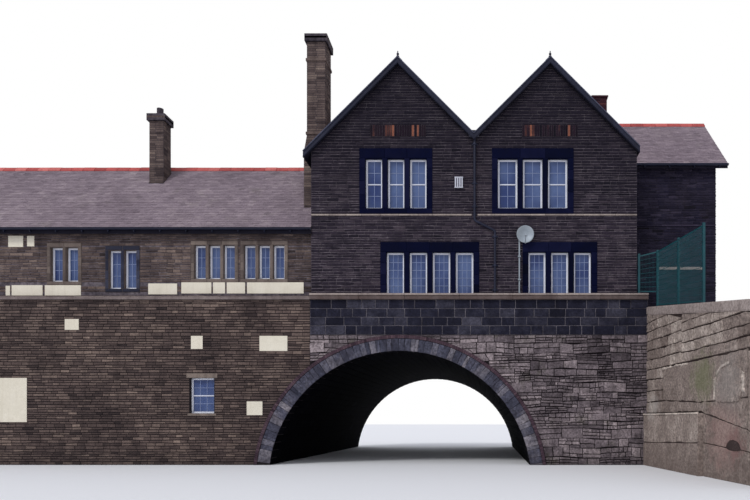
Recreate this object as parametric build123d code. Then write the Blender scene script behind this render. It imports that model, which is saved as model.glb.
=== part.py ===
from build123d import *

import math
import os

# Railway station building over a tunnel arch, in millimetres.
# It is drawn about the arch: X to the right, Y into the tunnel, Z up from the track bed.
# Every piece is moved together at the end, so that the origin is the bottom centre of the whole.

# Arch and tunnel
ARCH_RADIUS = 4520
ARCH_DROP = 590
RING_THICK = 430
ARCH_STONES = 51
RING_DEPTH = 620
RING_PROUD = 40
HOOD_THICK = 120
HOOD_DEPTH = 200
HOOD_PROUD = 75
TUNNEL_LENGTH = 15000
PORTAL_THICK = 900
PORTAL_LEFT = -6000
PORTAL_RIGHT = 8550

# Levels
DECK_TOP = 5700
STOREY = 2650
DECK_THICK = 350
LEDGE_THICK = 200
LEDGE_PROJECTION = 150
PARAPET_HEIGHT = 1000
PARAPET_THICK = 450
PARAPET_COPING = 150
COPING_OVERHANG = 50

# Twin gabled block
BLOCK_CENTRE = 2550
BLOCK_HALF_WIDTH = 5650
BLOCK_SETBACK = 150
BLOCK_DEPTH = 7000
WALL = 450
GABLE_SPACING = 5270
PLATE_ABOVE_HEAD = 220
ROOF_PITCH = 45
ROOF_THICK = 130
SIDE_OVERHANG = 240
RIGHT_OVERHANG = 70
VERGE_OVERHANG = 150
VALLEY_HALF_WIDTH = 170
LEAD = 25
STOP_BOARD_DROP = 80
STOP_BOARD_GAP = 50
FLOOR_THICK = 250

# Main range behind the gables, which ends in the right wing
MAIN_SETBACK = 1350
RIDGE_STEP = 650
MAIN_EAVE_OVERHANG = 250
RIGHT_WING_END = 11370
RIGHT_VERGE = 350

# Left wing
LEFT_WING_END = -16400
LEFT_WING_SETBACK = 350
LEFT_WING_DEPTH = 6100
LEFT_WALL_HEIGHT = 2530
LEFT_WING_ROOF_THICK = 160
LEFT_EAVE_OVERHANG = 250
LEFT_VERGE = 200
LOWER_WALL = 600
BASEMENT_FLOOR_TOP = 950
STRIP_HEIGHT = 160

# Windows
MULLION = 190
JAMB = 207
LINTEL = 350
SILL = 200
STONE_PROUD = 20
SASH_SET_BACK = 120
SASH_THICK = 50
SASH_FRAME = 60
GLASS = 8
UPPER_SILL_HEIGHT = 550
UPPER_LIGHT_HEIGHT = 1730
LOWER_LIGHT_HEIGHT = 1480

# Trim
STRING_HEIGHT = 70
STRING_PROJECTION = 45
WING_SILL_RISE = 1140
WING_SILL_HEIGHT = 110
WING_SILL_INSET = 430
WING_SILL_WIDTH = 1640
PIPE_RADIUS = 42
PIPE_BEND = 110
WALL_GAP = 40
PIPE_X_UPPER = 2570
PIPE_X_LOWER = 3276
PIPE_GAP = 60
PIPE_SIDES = 12
PIPE_NECK_TOP = 480
PIPE_NECK_DROP = 360
PANEL_WIDTH = 1930
PANEL_HEIGHT = 400
PANEL_ABOVE_LINTEL = 410
PANEL_DEPTH = 110
PANEL_PROUD = 12
BARGE_DEPTH = 145
BARGE_THICK = 45
RIDGE_TILE_REACH = 150
RIDGE_TILE_THICK = 45
FINIAL_RADIUS = 32
FINIAL_HEIGHT = 230
GUTTER_RADIUS = 65
GUTTER_WALL = 8
GUTTER_DROP = 45
PLATE_THICK = 20

# Wing wall and fence
WING_WALL_LENGTH = 8000
WING_WALL_THICK = 800
WING_WALL_SPLAY = 770
WING_TOP_BACK = 5450
WING_TOP_FRONT = 4250
WING_COPING = 280
WING_COPING_OVERHANG = 50
PLINTH_TOP = 1750
PLINTH_LENGTH = 4400
PLINTH_PROJECTION = 150
FENCE_HEIGHT = 1960
FENCE_FALL = 95
FENCE_RETURN_DROP = 140
FENCE_TOP_GAP = 60
FENCE_POST = 70
FENCE_INSET = 330
FENCE_BAYS = 2
FENCE_BAY = 1830
FENCE_FRAME = 34
FENCE_BAR = 14
FENCE_BARS = 5
FENCE_CLEARANCE = 0.6

# Derived lines
SLOPE = math.tan(math.radians(ROOF_PITCH))
ROOF_DROP = ROOF_THICK / math.cos(math.radians(ROOF_PITCH))
LEFT_ROOF_DROP = LEFT_WING_ROOF_THICK / math.cos(math.radians(ROOF_PITCH))
ARCH_OUTER = ARCH_RADIUS + RING_THICK
LEDGE_TOP = DECK_TOP + LEDGE_THICK
UPPER_FLOOR_TOP = DECK_TOP + STOREY
UPPER_SILL = UPPER_FLOOR_TOP + UPPER_SILL_HEIGHT
UPPER_HEAD = UPPER_SILL + UPPER_LIGHT_HEIGHT
LOWER_HEAD = LEDGE_TOP + LOWER_LIGHT_HEIGHT
PANEL_BASE = UPPER_HEAD + LINTEL + PANEL_ABOVE_LINTEL
STRING_TOP = UPPER_SILL - SILL
BLOCK_LEFT = BLOCK_CENTRE - BLOCK_HALF_WIDTH
BLOCK_RIGHT = BLOCK_CENTRE + BLOCK_HALF_WIDTH
BLOCK_REAR = BLOCK_SETBACK + BLOCK_DEPTH
BLOCK_MID = BLOCK_SETBACK + BLOCK_DEPTH / 2
APEX_LEFT = BLOCK_CENTRE - GABLE_SPACING / 2
APEX_RIGHT = BLOCK_CENTRE + GABLE_SPACING / 2
GABLE_APEX = UPPER_HEAD + PLATE_ABOVE_HEAD + ROOF_DROP + (BLOCK_RIGHT - APEX_RIGHT) * SLOPE
MAIN_RIDGE = GABLE_APEX - RIDGE_STEP
GABLES_LEFT = BLOCK_LEFT - SIDE_OVERHANG
GABLES_RIGHT = BLOCK_RIGHT + RIGHT_OVERHANG
VERGE_FRONT = BLOCK_SETBACK - VERGE_OVERHANG
VERGE_REAR = BLOCK_REAR + VERGE_OVERHANG
VALLEY_TOP = GABLE_APEX - (GABLE_SPACING / 2 - VALLEY_HALF_WIDTH) * SLOPE
VALLEY_UNDER = VALLEY_TOP - ROOF_DROP - LEAD
MAIN_REAR = 2 * BLOCK_MID - MAIN_SETBACK
MAIN_EAVE_FRONT = MAIN_SETBACK - MAIN_EAVE_OVERHANG
MAIN_EAVE_REAR = MAIN_REAR + MAIN_EAVE_OVERHANG
MAIN_LEFT = GABLES_LEFT
MAIN_RIGHT = RIGHT_WING_END + RIGHT_VERGE
LEFT_WING_REAR = LEFT_WING_SETBACK + LEFT_WING_DEPTH
LEFT_WING_MID = LEFT_WING_SETBACK + LEFT_WING_DEPTH / 2
LEFT_WING_EAVE = DECK_TOP + LEFT_WALL_HEIGHT
LEFT_EAVE_FRONT = LEFT_WING_SETBACK - LEFT_EAVE_OVERHANG
LEFT_EAVE_REAR = LEFT_WING_REAR + LEFT_EAVE_OVERHANG
LEFT_WING_RIDGE = LEFT_WING_EAVE + (LEFT_WING_MID - LEFT_EAVE_FRONT) * SLOPE
ABOVE_ALL = 2 * GABLE_APEX

# Windows: centre, then sill and head above the deck where they differ, and the width of each light
UPPER_LIGHTS = [(-160, (580, 580, 580)), (4590, (680, 680, 680))]
LOWER_LIGHTS = [(1017, (612, 612, 612, 612)), (5530, (600, 600, 600))]
LEFT_LIGHTS = [
    (-14700, 700, 1900, (430, 430)), (-11800, 700, 1900, (430, 430)), (-9760, 450, 1800, (430, 430)),
    (-6540, 790, 1980, (400, 400, 400)), (-4800, 790, 1980, (400, 400, 400)),
]
BLOCK_UPPER_WINDOWS = [(x, UPPER_SILL, UPPER_HEAD, lights) for x, lights in UPPER_LIGHTS]
BLOCK_LOWER_WINDOWS = [(x, LEDGE_TOP, LOWER_HEAD, lights) for x, lights in LOWER_LIGHTS]
LEFT_WINDOWS = [(x, DECK_TOP + sill, DECK_TOP + head, lights) for x, sill, head, lights in LEFT_LIGHTS]
LEFT_MULLION = 110
LEFT_JAMB = 120
LEFT_LINTEL = 150
LEFT_SILL = 120
BASEMENT_WINDOW = (-6825, 1780, 3000, (830,))

# Blank boards: left x, right x, bottom and top, the upper ones from the deck level
UPPER_BOARDS = [
    (-13850, -13700, 210, 550), (-13640, -12560, 210, 570), (-12480, -11220, 210, 570),
    (-8860, -7850, 250, 630), (-7700, -6650, 280, 670), (-6590, -6170, 280, 670),
    (-6110, -5470, 280, 670), (-5400, -3420, 280, 670),
    (-13760, -13240, 1910, 2300), (-13100, -12850, 1930, 2300),
]
LOWER_BOARDS = [
    (-4840, -3880, 3930, 4450), (-5280, -4740, 1720, 2190), (-7200, -6800, 4000, 4450),
    (-11550, -11070, 4660, 5030), (-13790, -12860, 1480, 3000),
]

# Chimneys: left x, right x, front y, rear y
TALL_STACK = (BLOCK_LEFT - 418, BLOCK_LEFT + 247, 1100, 1900)
TALL_STACK_BASE = 110
TALL_STACK_RISE = 1040
TALL_SHOULDER_RISE = 600
TALL_SHAFT = 3360
TALL_NECK = 700
END_STACK = (BLOCK_RIGHT - WALL - 560, BLOCK_RIGHT - WALL, BLOCK_MID - 350, BLOCK_MID + 350)
END_STACK_RISE = 950
END_CAP_HEIGHT = 60
END_CAP_OVERHANG = 50
LEFT_STACK = (-9980, -9430, 2530, 3080)
LEFT_STACK_RISE = 1525
CAP_HEIGHT = 260
CAP_OVERHANG = 75
BAND_HEIGHT = 90
BAND_OVERHANG = 30
POT_RADIUS = 120
POT_WALL = 30
POT_HEIGHT = 330

# Aerial on its pole, and the vent box
POLE_X = 4120
POLE_RADIUS = 26
POLE_HEIGHT = 2060
DISH_REACH = 200
DISH_RADIUS = 300
DISH_SAG = 60
DISH_FLAT = 110
DISH_SHELL = 10
VENT_X = 2025
VENT_RISE = 690
VENT_WIDTH = 290
VENT_HEIGHT = 380
VENT_DEPTH = 60

nodes = {}


def block(x0, x1, y0, y1, z0, z1):
    """A plain box between two corners."""
    return Pos((x0 + x1) / 2, (y0 + y1) / 2, (z0 + z1) / 2) * Box(x1 - x0, y1 - y0, z1 - z0)


def front_shape(points, y0, y1):
    """An outline drawn on the front, as (x, z), carried back from y0 to y1."""
    outline = Polyline([(x, y0, z) for x, z in points], close=True)
    return extrude(make_face(outline), amount=y1 - y0, dir=(0, 1, 0))


def side_shape(points, x0, x1):
    """An outline drawn on the side, as (y, z), carried across from x0 to x1."""
    outline = Polyline([(x0, y, z) for y, z in points], close=True)
    return extrude(make_face(outline), amount=x1 - x0, dir=(1, 0, 0))


def plan_shape(points, z0, z1):
    """An outline drawn on plan, as (x, y), raised from z0 to z1."""
    outline = Polyline([(x, y, z0) for x, y in points], close=True)
    return extrude(make_face(outline), amount=z1 - z0, dir=(0, 0, 1))


def barrel(radius, y0, y1):
    """The half round bar along the tunnel that cuts or fills the arch, with one flat for each stone."""
    points = []
    for joint in range(ARCH_STONES + 1):
        angle = math.pi * joint / ARCH_STONES
        points.append((radius * math.cos(angle), radius * math.sin(angle) - ARCH_DROP))
    return front_shape(points, y0, y1)


def ring(inner, outer, y0, y1):
    """A half ring of masonry that stands on the ground."""
    above = block(-outer, outer, y0, y1, 0, outer)
    return (barrel(outer, y0, y1) - barrel(inner, y0 - 1, y1 + 1)) & above


def mirrored(piece, mid):
    """The same piece on the rear side, turned about the middle line of its range."""
    return mirror(piece, about=Plane.XZ.offset(-mid))


def solids_of(pieces):
    """Loose solids of one node, as one group."""
    found = []
    for piece in pieces:
        found.extend(piece.solids())
    return Compound(found)


# Arch, tunnel and bridge

def build_bridge():
    rear = TUNNEL_LENGTH
    fill_right = BLOCK_RIGHT
    ring_back = RING_DEPTH
    front_wall = block(PORTAL_LEFT, PORTAL_RIGHT, 0, PORTAL_THICK, 0, DECK_TOP)
    front_wall -= barrel(ARCH_OUTER, -1, PORTAL_THICK + 1)
    front_wall -= barrel(ARCH_OUTER + HOOD_THICK, -1, HOOD_DEPTH)
    nodes["portal_wall_front"] = front_wall
    nodes["voussoir_ring_front"] = ring(ARCH_RADIUS, ARCH_OUTER, -RING_PROUD, ring_back)
    rear_wall = block(PORTAL_LEFT, PORTAL_RIGHT, rear - PORTAL_THICK, rear, 0, DECK_TOP)
    coping_base = DECK_TOP + PARAPET_HEIGHT
    rear_wall += block(PORTAL_LEFT, PORTAL_RIGHT, rear - PARAPET_THICK, rear, DECK_TOP, coping_base)
    rear_wall -= barrel(ARCH_OUTER, rear - PORTAL_THICK - 1, rear + 1)
    rear_wall -= barrel(ARCH_OUTER + HOOD_THICK, rear - HOOD_DEPTH, rear + 1)
    nodes["portal_wall_rear"] = rear_wall
    nodes["voussoir_ring_rear"] = ring(ARCH_RADIUS, ARCH_OUTER, rear - ring_back, rear + RING_PROUD)
    hood_outer = ARCH_OUTER + HOOD_THICK
    nodes["brick_hoods"] = solids_of([
        ring(ARCH_OUTER, hood_outer, -HOOD_PROUD, HOOD_DEPTH),
        ring(ARCH_OUTER, hood_outer, rear - HOOD_DEPTH, rear + HOOD_PROUD),
    ])
    nodes["vault"] = ring(ARCH_RADIUS, ARCH_OUTER, ring_back, rear - ring_back)
    mass_top = DECK_TOP - DECK_THICK
    inner_front = PORTAL_THICK
    inner_rear = rear - PORTAL_THICK
    opening = barrel(ARCH_OUTER, 0, rear)
    nodes["bridge_masonry_left"] = block(PORTAL_LEFT, 0, inner_front, inner_rear, 0, mass_top) - opening
    nodes["bridge_masonry_right"] = block(0, fill_right, inner_front, inner_rear, 0, mass_top) - opening
    nodes["bridge_deck"] = block(PORTAL_LEFT, fill_right, inner_front, inner_rear, mass_top, DECK_TOP)
    nodes["rear_parapet_coping"] = block(
        PORTAL_LEFT, PORTAL_RIGHT, rear - PARAPET_THICK - COPING_OVERHANG, rear + COPING_OVERHANG,
        coping_base, coping_base + PARAPET_COPING,
    )
    front_ledge = block(BLOCK_LEFT, PORTAL_RIGHT, -LEDGE_PROJECTION, BLOCK_SETBACK, DECK_TOP, LEDGE_TOP)
    strip = side_shape(
        [(0, DECK_TOP), (LEFT_WING_SETBACK, DECK_TOP), (LEFT_WING_SETBACK, DECK_TOP + STRIP_HEIGHT),
         (-LEDGE_PROJECTION / 2, DECK_TOP + STRIP_HEIGHT / 2), (-LEDGE_PROJECTION / 2, DECK_TOP)],
        LEFT_WING_END, BLOCK_LEFT,
    )
    nodes["ledge"] = front_ledge
    nodes["left_wing_ledge"] = strip


# Roof forms

def gable_chevron(apex_x, left_x, right_x):
    """The sloping shell of one gable roof, seen from the front."""
    top = GABLE_APEX
    left_z = top - (apex_x - left_x) * SLOPE
    right_z = top - (right_x - apex_x) * SLOPE
    points = [
        (left_x, left_z), (apex_x, top), (right_x, right_z),
        (right_x, right_z - ROOF_DROP), (apex_x, top - ROOF_DROP), (left_x, left_z - ROOF_DROP),
    ]
    return front_shape(points, VERGE_FRONT, VERGE_REAR)


def main_profile(drop):
    """The slopes of the main range from the side, lowered by a drop."""
    run = BLOCK_MID - MAIN_EAVE_FRONT
    eave = MAIN_RIDGE - run * SLOPE
    return [(MAIN_EAVE_FRONT, eave - drop), (BLOCK_MID, MAIN_RIDGE - drop), (MAIN_EAVE_REAR, eave - drop)]


def under_main(drop):
    """Everything below the main roof."""
    points = main_profile(drop)
    points = [(MAIN_EAVE_FRONT, 0)] + points + [(MAIN_EAVE_REAR, 0)]
    return side_shape(points, MAIN_LEFT, MAIN_RIGHT)


def under_gables(drop, valley):
    """Everything below the twin gable roofs."""
    left_z = GABLE_APEX - (APEX_LEFT - GABLES_LEFT) * SLOPE - drop
    right_z = GABLE_APEX - (GABLES_RIGHT - APEX_RIGHT) * SLOPE - drop
    inner_z = VALLEY_TOP - drop
    points = [
        (GABLES_LEFT, 0), (GABLES_LEFT, left_z), (APEX_LEFT, GABLE_APEX - drop),
        (BLOCK_CENTRE - VALLEY_HALF_WIDTH, inner_z), (BLOCK_CENTRE - VALLEY_HALF_WIDTH, valley),
        (BLOCK_CENTRE + VALLEY_HALF_WIDTH, valley), (BLOCK_CENTRE + VALLEY_HALF_WIDTH, inner_z),
        (APEX_RIGHT, GABLE_APEX - drop), (GABLES_RIGHT, right_z), (GABLES_RIGHT, 0),
    ]
    return front_shape(points, VERGE_FRONT, VERGE_REAR)


def between_ridges():
    """The strip between the two gable ridges, where the valley runs through and the main roof stops."""
    return block(APEX_LEFT, APEX_RIGHT, 0, ABOVE_ALL, 0, ABOVE_ALL)


def ridge_strip(apex, mid):
    """Corner points of a bent ridge tile on two slopes, as (offset, z)."""
    reach = RIDGE_TILE_REACH
    low = apex - reach * SLOPE
    thick = RIDGE_TILE_THICK
    return [(mid - reach, low), (mid, apex), (mid + reach, low), (mid + reach, low + thick),
            (mid, apex + thick), (mid - reach, low + thick)]


def build_main_roofs(stacks):
    left = gable_chevron(APEX_LEFT, GABLES_LEFT, BLOCK_CENTRE - VALLEY_HALF_WIDTH)
    right = gable_chevron(APEX_RIGHT, BLOCK_CENTRE + VALLEY_HALF_WIDTH, GABLES_RIGHT)
    below_main = under_main(ROOF_DROP) - between_ridges()
    nodes["gable_roof_left"] = left - below_main - stacks
    nodes["gable_roof_right"] = right - below_main - stacks
    main = under_main(0) - below_main - under_gables(0, VALLEY_UNDER) - between_ridges() - stacks
    nodes["main_roof"] = main & block(MAIN_LEFT, MAIN_RIGHT, 0, ABOVE_ALL, LEFT_WING_EAVE, ABOVE_ALL)
    valley = front_shape(
        [(BLOCK_CENTRE - VALLEY_HALF_WIDTH, VALLEY_TOP), (BLOCK_CENTRE - VALLEY_HALF_WIDTH, VALLEY_UNDER),
         (BLOCK_CENTRE + VALLEY_HALF_WIDTH, VALLEY_UNDER), (BLOCK_CENTRE + VALLEY_HALF_WIDTH, VALLEY_TOP),
         (BLOCK_CENTRE + VALLEY_HALF_WIDTH - LEAD, VALLEY_TOP),
         (BLOCK_CENTRE + VALLEY_HALF_WIDTH - LEAD, VALLEY_UNDER + LEAD),
         (BLOCK_CENTRE - VALLEY_HALF_WIDTH + LEAD, VALLEY_UNDER + LEAD),
         (BLOCK_CENTRE - VALLEY_HALF_WIDTH + LEAD, VALLEY_TOP)],
        VERGE_FRONT, VERGE_REAR,
    )
    for y0 in (VERGE_FRONT - BARGE_THICK, VERGE_REAR):
        valley += block(
            BLOCK_CENTRE - VALLEY_HALF_WIDTH, BLOCK_CENTRE + VALLEY_HALF_WIDTH, y0, y0 + BARGE_THICK,
            VALLEY_UNDER - STOP_BOARD_DROP, VALLEY_TOP - STOP_BOARD_GAP,
        )
    nodes["valley_gutters"] = valley


def build_ridges(stacks):
    tiles = []
    for apex_x in (APEX_LEFT, APEX_RIGHT):
        tile = front_shape(ridge_strip(GABLE_APEX, apex_x), VERGE_FRONT, VERGE_REAR)
        for y in (VERGE_FRONT + FINIAL_RADIUS * 2, VERGE_REAR - FINIAL_RADIUS * 2):
            base = GABLE_APEX + RIDGE_TILE_THICK / 2
            foot = Rectangle(2 * FINIAL_RADIUS, 2 * FINIAL_RADIUS)
            tip = Rectangle(FINIAL_RADIUS / 2, FINIAL_RADIUS / 2)
            tile += loft([Pos(apex_x, y, base) * foot, Pos(apex_x, y, base + FINIAL_HEIGHT) * tip])
        tiles.append(tile)
    nodes["gable_ridge_tiles"] = solids_of(tiles)
    main_tile = side_shape(ridge_strip(MAIN_RIDGE, BLOCK_MID), MAIN_LEFT, MAIN_RIGHT)
    main_tile = main_tile - under_gables(0, VALLEY_UNDER) - between_ridges() - stacks
    main_tile = main_tile - gable_ridge_clearance()
    left_end = LEFT_WING_END - LEFT_VERGE
    left_tile = side_shape(ridge_strip(LEFT_WING_RIDGE, LEFT_WING_MID), left_end, BLOCK_LEFT)
    nodes["red_ridge_tiles"] = solids_of([main_tile, left_tile])


def gable_ridge_clearance():
    """The space of the gable ridge tiles, kept free of the cross ridge."""
    clear = front_shape(ridge_strip(GABLE_APEX, APEX_LEFT), VERGE_FRONT, VERGE_REAR)
    clear += front_shape(ridge_strip(GABLE_APEX, APEX_RIGHT), VERGE_FRONT, VERGE_REAR)
    return clear


def barge(apex_x, left_x, right_x, y0, y1):
    """A pair of raking boards on the front of one gable."""
    drop = BARGE_DEPTH / math.cos(math.radians(ROOF_PITCH))
    left_z = GABLE_APEX - (apex_x - left_x) * SLOPE
    right_z = GABLE_APEX - (right_x - apex_x) * SLOPE
    points = [
        (left_x, left_z), (apex_x, GABLE_APEX), (right_x, right_z),
        (right_x, right_z - drop), (apex_x, GABLE_APEX - drop), (left_x, left_z - drop),
    ]
    return front_shape(points, y0, y1)


def build_barges():
    boards = []
    inner_left = BLOCK_CENTRE - VALLEY_HALF_WIDTH
    inner_right = BLOCK_CENTRE + VALLEY_HALF_WIDTH
    for y0 in (VERGE_FRONT - BARGE_THICK, VERGE_REAR):
        boards.append(barge(APEX_LEFT, GABLES_LEFT, inner_left, y0, y0 + BARGE_THICK))
        boards.append(barge(APEX_RIGHT, inner_right, GABLES_RIGHT, y0, y0 + BARGE_THICK))
    nodes["bargeboards"] = solids_of(boards)


# Windows

def opening_width(lights, mullion):
    return sum(lights) + (len(lights) - 1) * mullion


def light_edges(centre, lights, mullion):
    """Left and right edge of each light of a window."""
    left = centre - opening_width(lights, mullion) / 2
    edges = []
    for width in lights:
        edges.append((left, left + width))
        left += width + mullion
    return edges


def stone_frame(window, face, wall, mullion, jamb, lintel, sill):
    """Lintel, sill, jambs and mullions of one window, as one ring of dressed stone."""
    centre, low, high, lights = window
    half = opening_width(lights, mullion) / 2 + jamb
    frame = block(centre - half, centre + half, face - STONE_PROUD, face + wall, low - sill, high + lintel)
    for left, right in light_edges(centre, lights, mullion):
        frame -= block(left, right, face - ABOVE_ALL, face + ABOVE_ALL, low, high)
    return frame


def wall_hole(window, face, wall, mullion, jamb, lintel, sill):
    """The hole in the wall that the stone frame fills."""
    centre, low, high, lights = window
    half = opening_width(lights, mullion) / 2 + jamb
    return block(centre - half, centre + half, face - 1, face + wall + 1, low - sill, high + lintel)


def sash_set(window, face, mullion):
    """The painted frames and the glass of one window's lights."""
    centre, low, high, lights = window
    front = face + SASH_SET_BACK
    frames = []
    panes = []
    for left, right in light_edges(centre, lights, mullion):
        outer = block(left, right, front, front + SASH_THICK, low, high)
        edges = (left + SASH_FRAME, right - SASH_FRAME)
        heights = (low + SASH_FRAME, high - SASH_FRAME)
        frames.append(outer - block(*edges, front - 1, front + SASH_THICK + 1, *heights))
        glass_front = front + (SASH_THICK - GLASS) / 2
        panes.append(block(*edges, glass_front, glass_front + GLASS, *heights))
    return frames, panes


def build_windows():
    """All windows. Returns the wall holes of the block and of the left wing."""
    block_args = (BLOCK_SETBACK, WALL, MULLION, JAMB, LINTEL)
    upper = [stone_frame(w, *block_args, SILL) for w in BLOCK_UPPER_WINDOWS]
    lower = [stone_frame(w, *block_args, 0) for w in BLOCK_LOWER_WINDOWS]
    holes = [wall_hole(w, *block_args, SILL) for w in BLOCK_UPPER_WINDOWS]
    holes += [wall_hole(w, *block_args, 0) for w in BLOCK_LOWER_WINDOWS]
    wing_args = (LEFT_WING_SETBACK, WALL, LEFT_MULLION, LEFT_JAMB, LEFT_LINTEL, LEFT_SILL)
    wing = [stone_frame(w, *wing_args) for w in LEFT_WINDOWS]
    wing_holes = [wall_hole(w, *wing_args) for w in LEFT_WINDOWS]
    nodes["upper_window_stone"] = solids_of(upper)
    nodes["lower_window_stone"] = solids_of(lower)
    nodes["rear_window_stone"] = solids_of([mirrored(f, BLOCK_MID) for f in upper + lower])
    nodes["left_wing_window_stone"] = solids_of(wing + [mirrored(f, LEFT_WING_MID) for f in wing])
    front_frames, front_panes, rear_frames, rear_panes = [], [], [], []
    for window in BLOCK_UPPER_WINDOWS + BLOCK_LOWER_WINDOWS:
        frames, panes = sash_set(window, BLOCK_SETBACK, MULLION)
        front_frames += frames
        front_panes += panes
        rear_frames += [mirrored(f, BLOCK_MID) for f in frames]
        rear_panes += [mirrored(p, BLOCK_MID) for p in panes]
    for window in LEFT_WINDOWS:
        frames, panes = sash_set(window, LEFT_WING_SETBACK, LEFT_MULLION)
        front_frames += frames
        front_panes += panes
        rear_frames += [mirrored(f, LEFT_WING_MID) for f in frames]
        rear_panes += [mirrored(p, LEFT_WING_MID) for p in panes]
    frames, panes = sash_set(BASEMENT_WINDOW, 0, 0)
    nodes["front_window_frames"] = solids_of(front_frames + frames)
    nodes["front_window_glass"] = solids_of(front_panes + panes)
    nodes["rear_window_frames"] = solids_of(rear_frames)
    nodes["rear_window_glass"] = solids_of(rear_panes)
    return holes, wing_holes


# Walls and floors of the block and the right wing

def build_block(holes, stacks):
    below = under_gables(ROOF_DROP, VALLEY_UNDER) + under_main(ROOF_DROP)
    gables_only = under_gables(ROOF_DROP, VALLEY_UNDER)
    inner_front = BLOCK_SETBACK + WALL
    inner_rear = BLOCK_REAR - WALL
    front = block(BLOCK_LEFT, BLOCK_RIGHT, BLOCK_SETBACK, inner_front, DECK_TOP, ABOVE_ALL) & gables_only
    for hole in holes:
        front -= hole
    panels = []
    for apex_x in (APEX_LEFT, APEX_RIGHT):
        edges = (apex_x - PANEL_WIDTH / 2, apex_x + PANEL_WIDTH / 2)
        heights = (PANEL_BASE, PANEL_BASE + PANEL_HEIGHT)
        front -= block(*edges, BLOCK_SETBACK - 1, BLOCK_SETBACK + PANEL_DEPTH, *heights)
        panels.append(block(*edges, BLOCK_SETBACK - PANEL_PROUD, BLOCK_SETBACK + PANEL_DEPTH, *heights))
    rear = mirrored(front, BLOCK_MID)
    rear_panels = [mirrored(p, BLOCK_MID) for p in panels]
    nodes["block_front_wall"] = front
    nodes["block_rear_wall"] = rear
    nodes["soldier_brick_panels"] = solids_of(panels + rear_panels)
    left = block(BLOCK_LEFT, BLOCK_LEFT + WALL, inner_front, inner_rear, DECK_TOP, ABOVE_ALL)
    right = block(BLOCK_RIGHT - WALL, BLOCK_RIGHT, inner_front, inner_rear, DECK_TOP, ABOVE_ALL)
    nodes["block_left_wall"] = (left & below) - stacks
    nodes["block_right_wall"] = (right & below) - stacks
    floor = block(
        BLOCK_LEFT + WALL, BLOCK_RIGHT - WALL, inner_front, inner_rear,
        UPPER_FLOOR_TOP - FLOOR_THICK, UPPER_FLOOR_TOP,
    )
    nodes["upper_floor"] = floor - stacks
    wing_front = block(BLOCK_RIGHT, RIGHT_WING_END, MAIN_SETBACK, MAIN_SETBACK + WALL, 0, ABOVE_ALL)
    wing_rear = block(BLOCK_RIGHT, RIGHT_WING_END, MAIN_REAR - WALL, MAIN_REAR, 0, ABOVE_ALL)
    wing_end = block(
        RIGHT_WING_END - WALL, RIGHT_WING_END, MAIN_SETBACK + WALL, MAIN_REAR - WALL, 0, ABOVE_ALL,
    )
    gable_edge = gable_chevron(APEX_RIGHT, BLOCK_CENTRE + VALLEY_HALF_WIDTH, GABLES_RIGHT)
    nodes["right_wing_front_wall"] = (wing_front & under_main(ROOF_DROP)) - gable_edge
    nodes["right_wing_rear_wall"] = (wing_rear & under_main(ROOF_DROP)) - gable_edge
    nodes["right_wing_end_wall"] = wing_end & under_main(ROOF_DROP)
    floors = []
    for top in (DECK_TOP, UPPER_FLOOR_TOP):
        floors.append(block(
            BLOCK_RIGHT, RIGHT_WING_END - WALL, MAIN_SETBACK + WALL, MAIN_REAR - WALL, top - FLOOR_THICK, top,
        ))
    nodes["right_wing_floors"] = solids_of(floors)


# Left wing

def left_roof_profile(drop):
    """The slopes of the left wing from the side, lowered by a drop."""
    return [(LEFT_EAVE_FRONT, LEFT_WING_EAVE - drop), (LEFT_WING_MID, LEFT_WING_RIDGE - drop),
            (LEFT_EAVE_REAR, LEFT_WING_EAVE - drop)]


def under_left_roof(drop):
    points = [(LEFT_EAVE_FRONT, 0)] + left_roof_profile(drop) + [(LEFT_EAVE_REAR, 0)]
    return side_shape(points, LEFT_WING_END - LEFT_VERGE, BLOCK_LEFT)


def build_left_wing(wing_holes, stacks):
    below = under_left_roof(LEFT_ROOF_DROP)
    front_face = LEFT_WING_SETBACK
    inner_left = LEFT_WING_END + LOWER_WALL
    lower_front = block(LEFT_WING_END, PORTAL_LEFT, 0, LOWER_WALL, 0, DECK_TOP)
    centre, low, high, lights = BASEMENT_WINDOW
    half = opening_width(lights, 0) / 2
    lower_front -= block(centre - half, centre + half, -1, LOWER_WALL + 1, low, high)
    nodes["left_wing_lower_front_wall"] = lower_front
    nodes["left_wing_lower_rear_wall"] = block(
        LEFT_WING_END, PORTAL_LEFT, LEFT_WING_REAR - LOWER_WALL, LEFT_WING_REAR, 0, DECK_TOP,
    )
    nodes["left_wing_lower_end_wall"] = block(
        LEFT_WING_END, inner_left, LOWER_WALL, LEFT_WING_REAR - LOWER_WALL, 0, DECK_TOP,
    )
    upper_front = block(LEFT_WING_END, BLOCK_LEFT, front_face, front_face + WALL, DECK_TOP, ABOVE_ALL) & below
    for hole in wing_holes:
        upper_front -= hole
    nodes["left_wing_upper_front_wall"] = upper_front - stacks
    nodes["left_wing_upper_rear_wall"] = mirrored(upper_front, LEFT_WING_MID) - stacks
    end = block(
        LEFT_WING_END, LEFT_WING_END + WALL, front_face + WALL, LEFT_WING_REAR - WALL, DECK_TOP, ABOVE_ALL,
    )
    nodes["left_wing_end_gable"] = end & below
    nodes["left_wing_floors"] = solids_of([
        block(inner_left, PORTAL_LEFT, LOWER_WALL, LEFT_WING_REAR - LOWER_WALL, top - FLOOR_THICK, top)
        for top in (BASEMENT_FLOOR_TOP, DECK_TOP)
    ])
    above_deck = block(LEFT_WING_END - LEFT_VERGE, BLOCK_LEFT, 0, ABOVE_ALL, DECK_TOP, ABOVE_ALL)
    nodes["left_wing_roof"] = (under_left_roof(0) - below - stacks) & above_deck


# Chimneys

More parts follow.
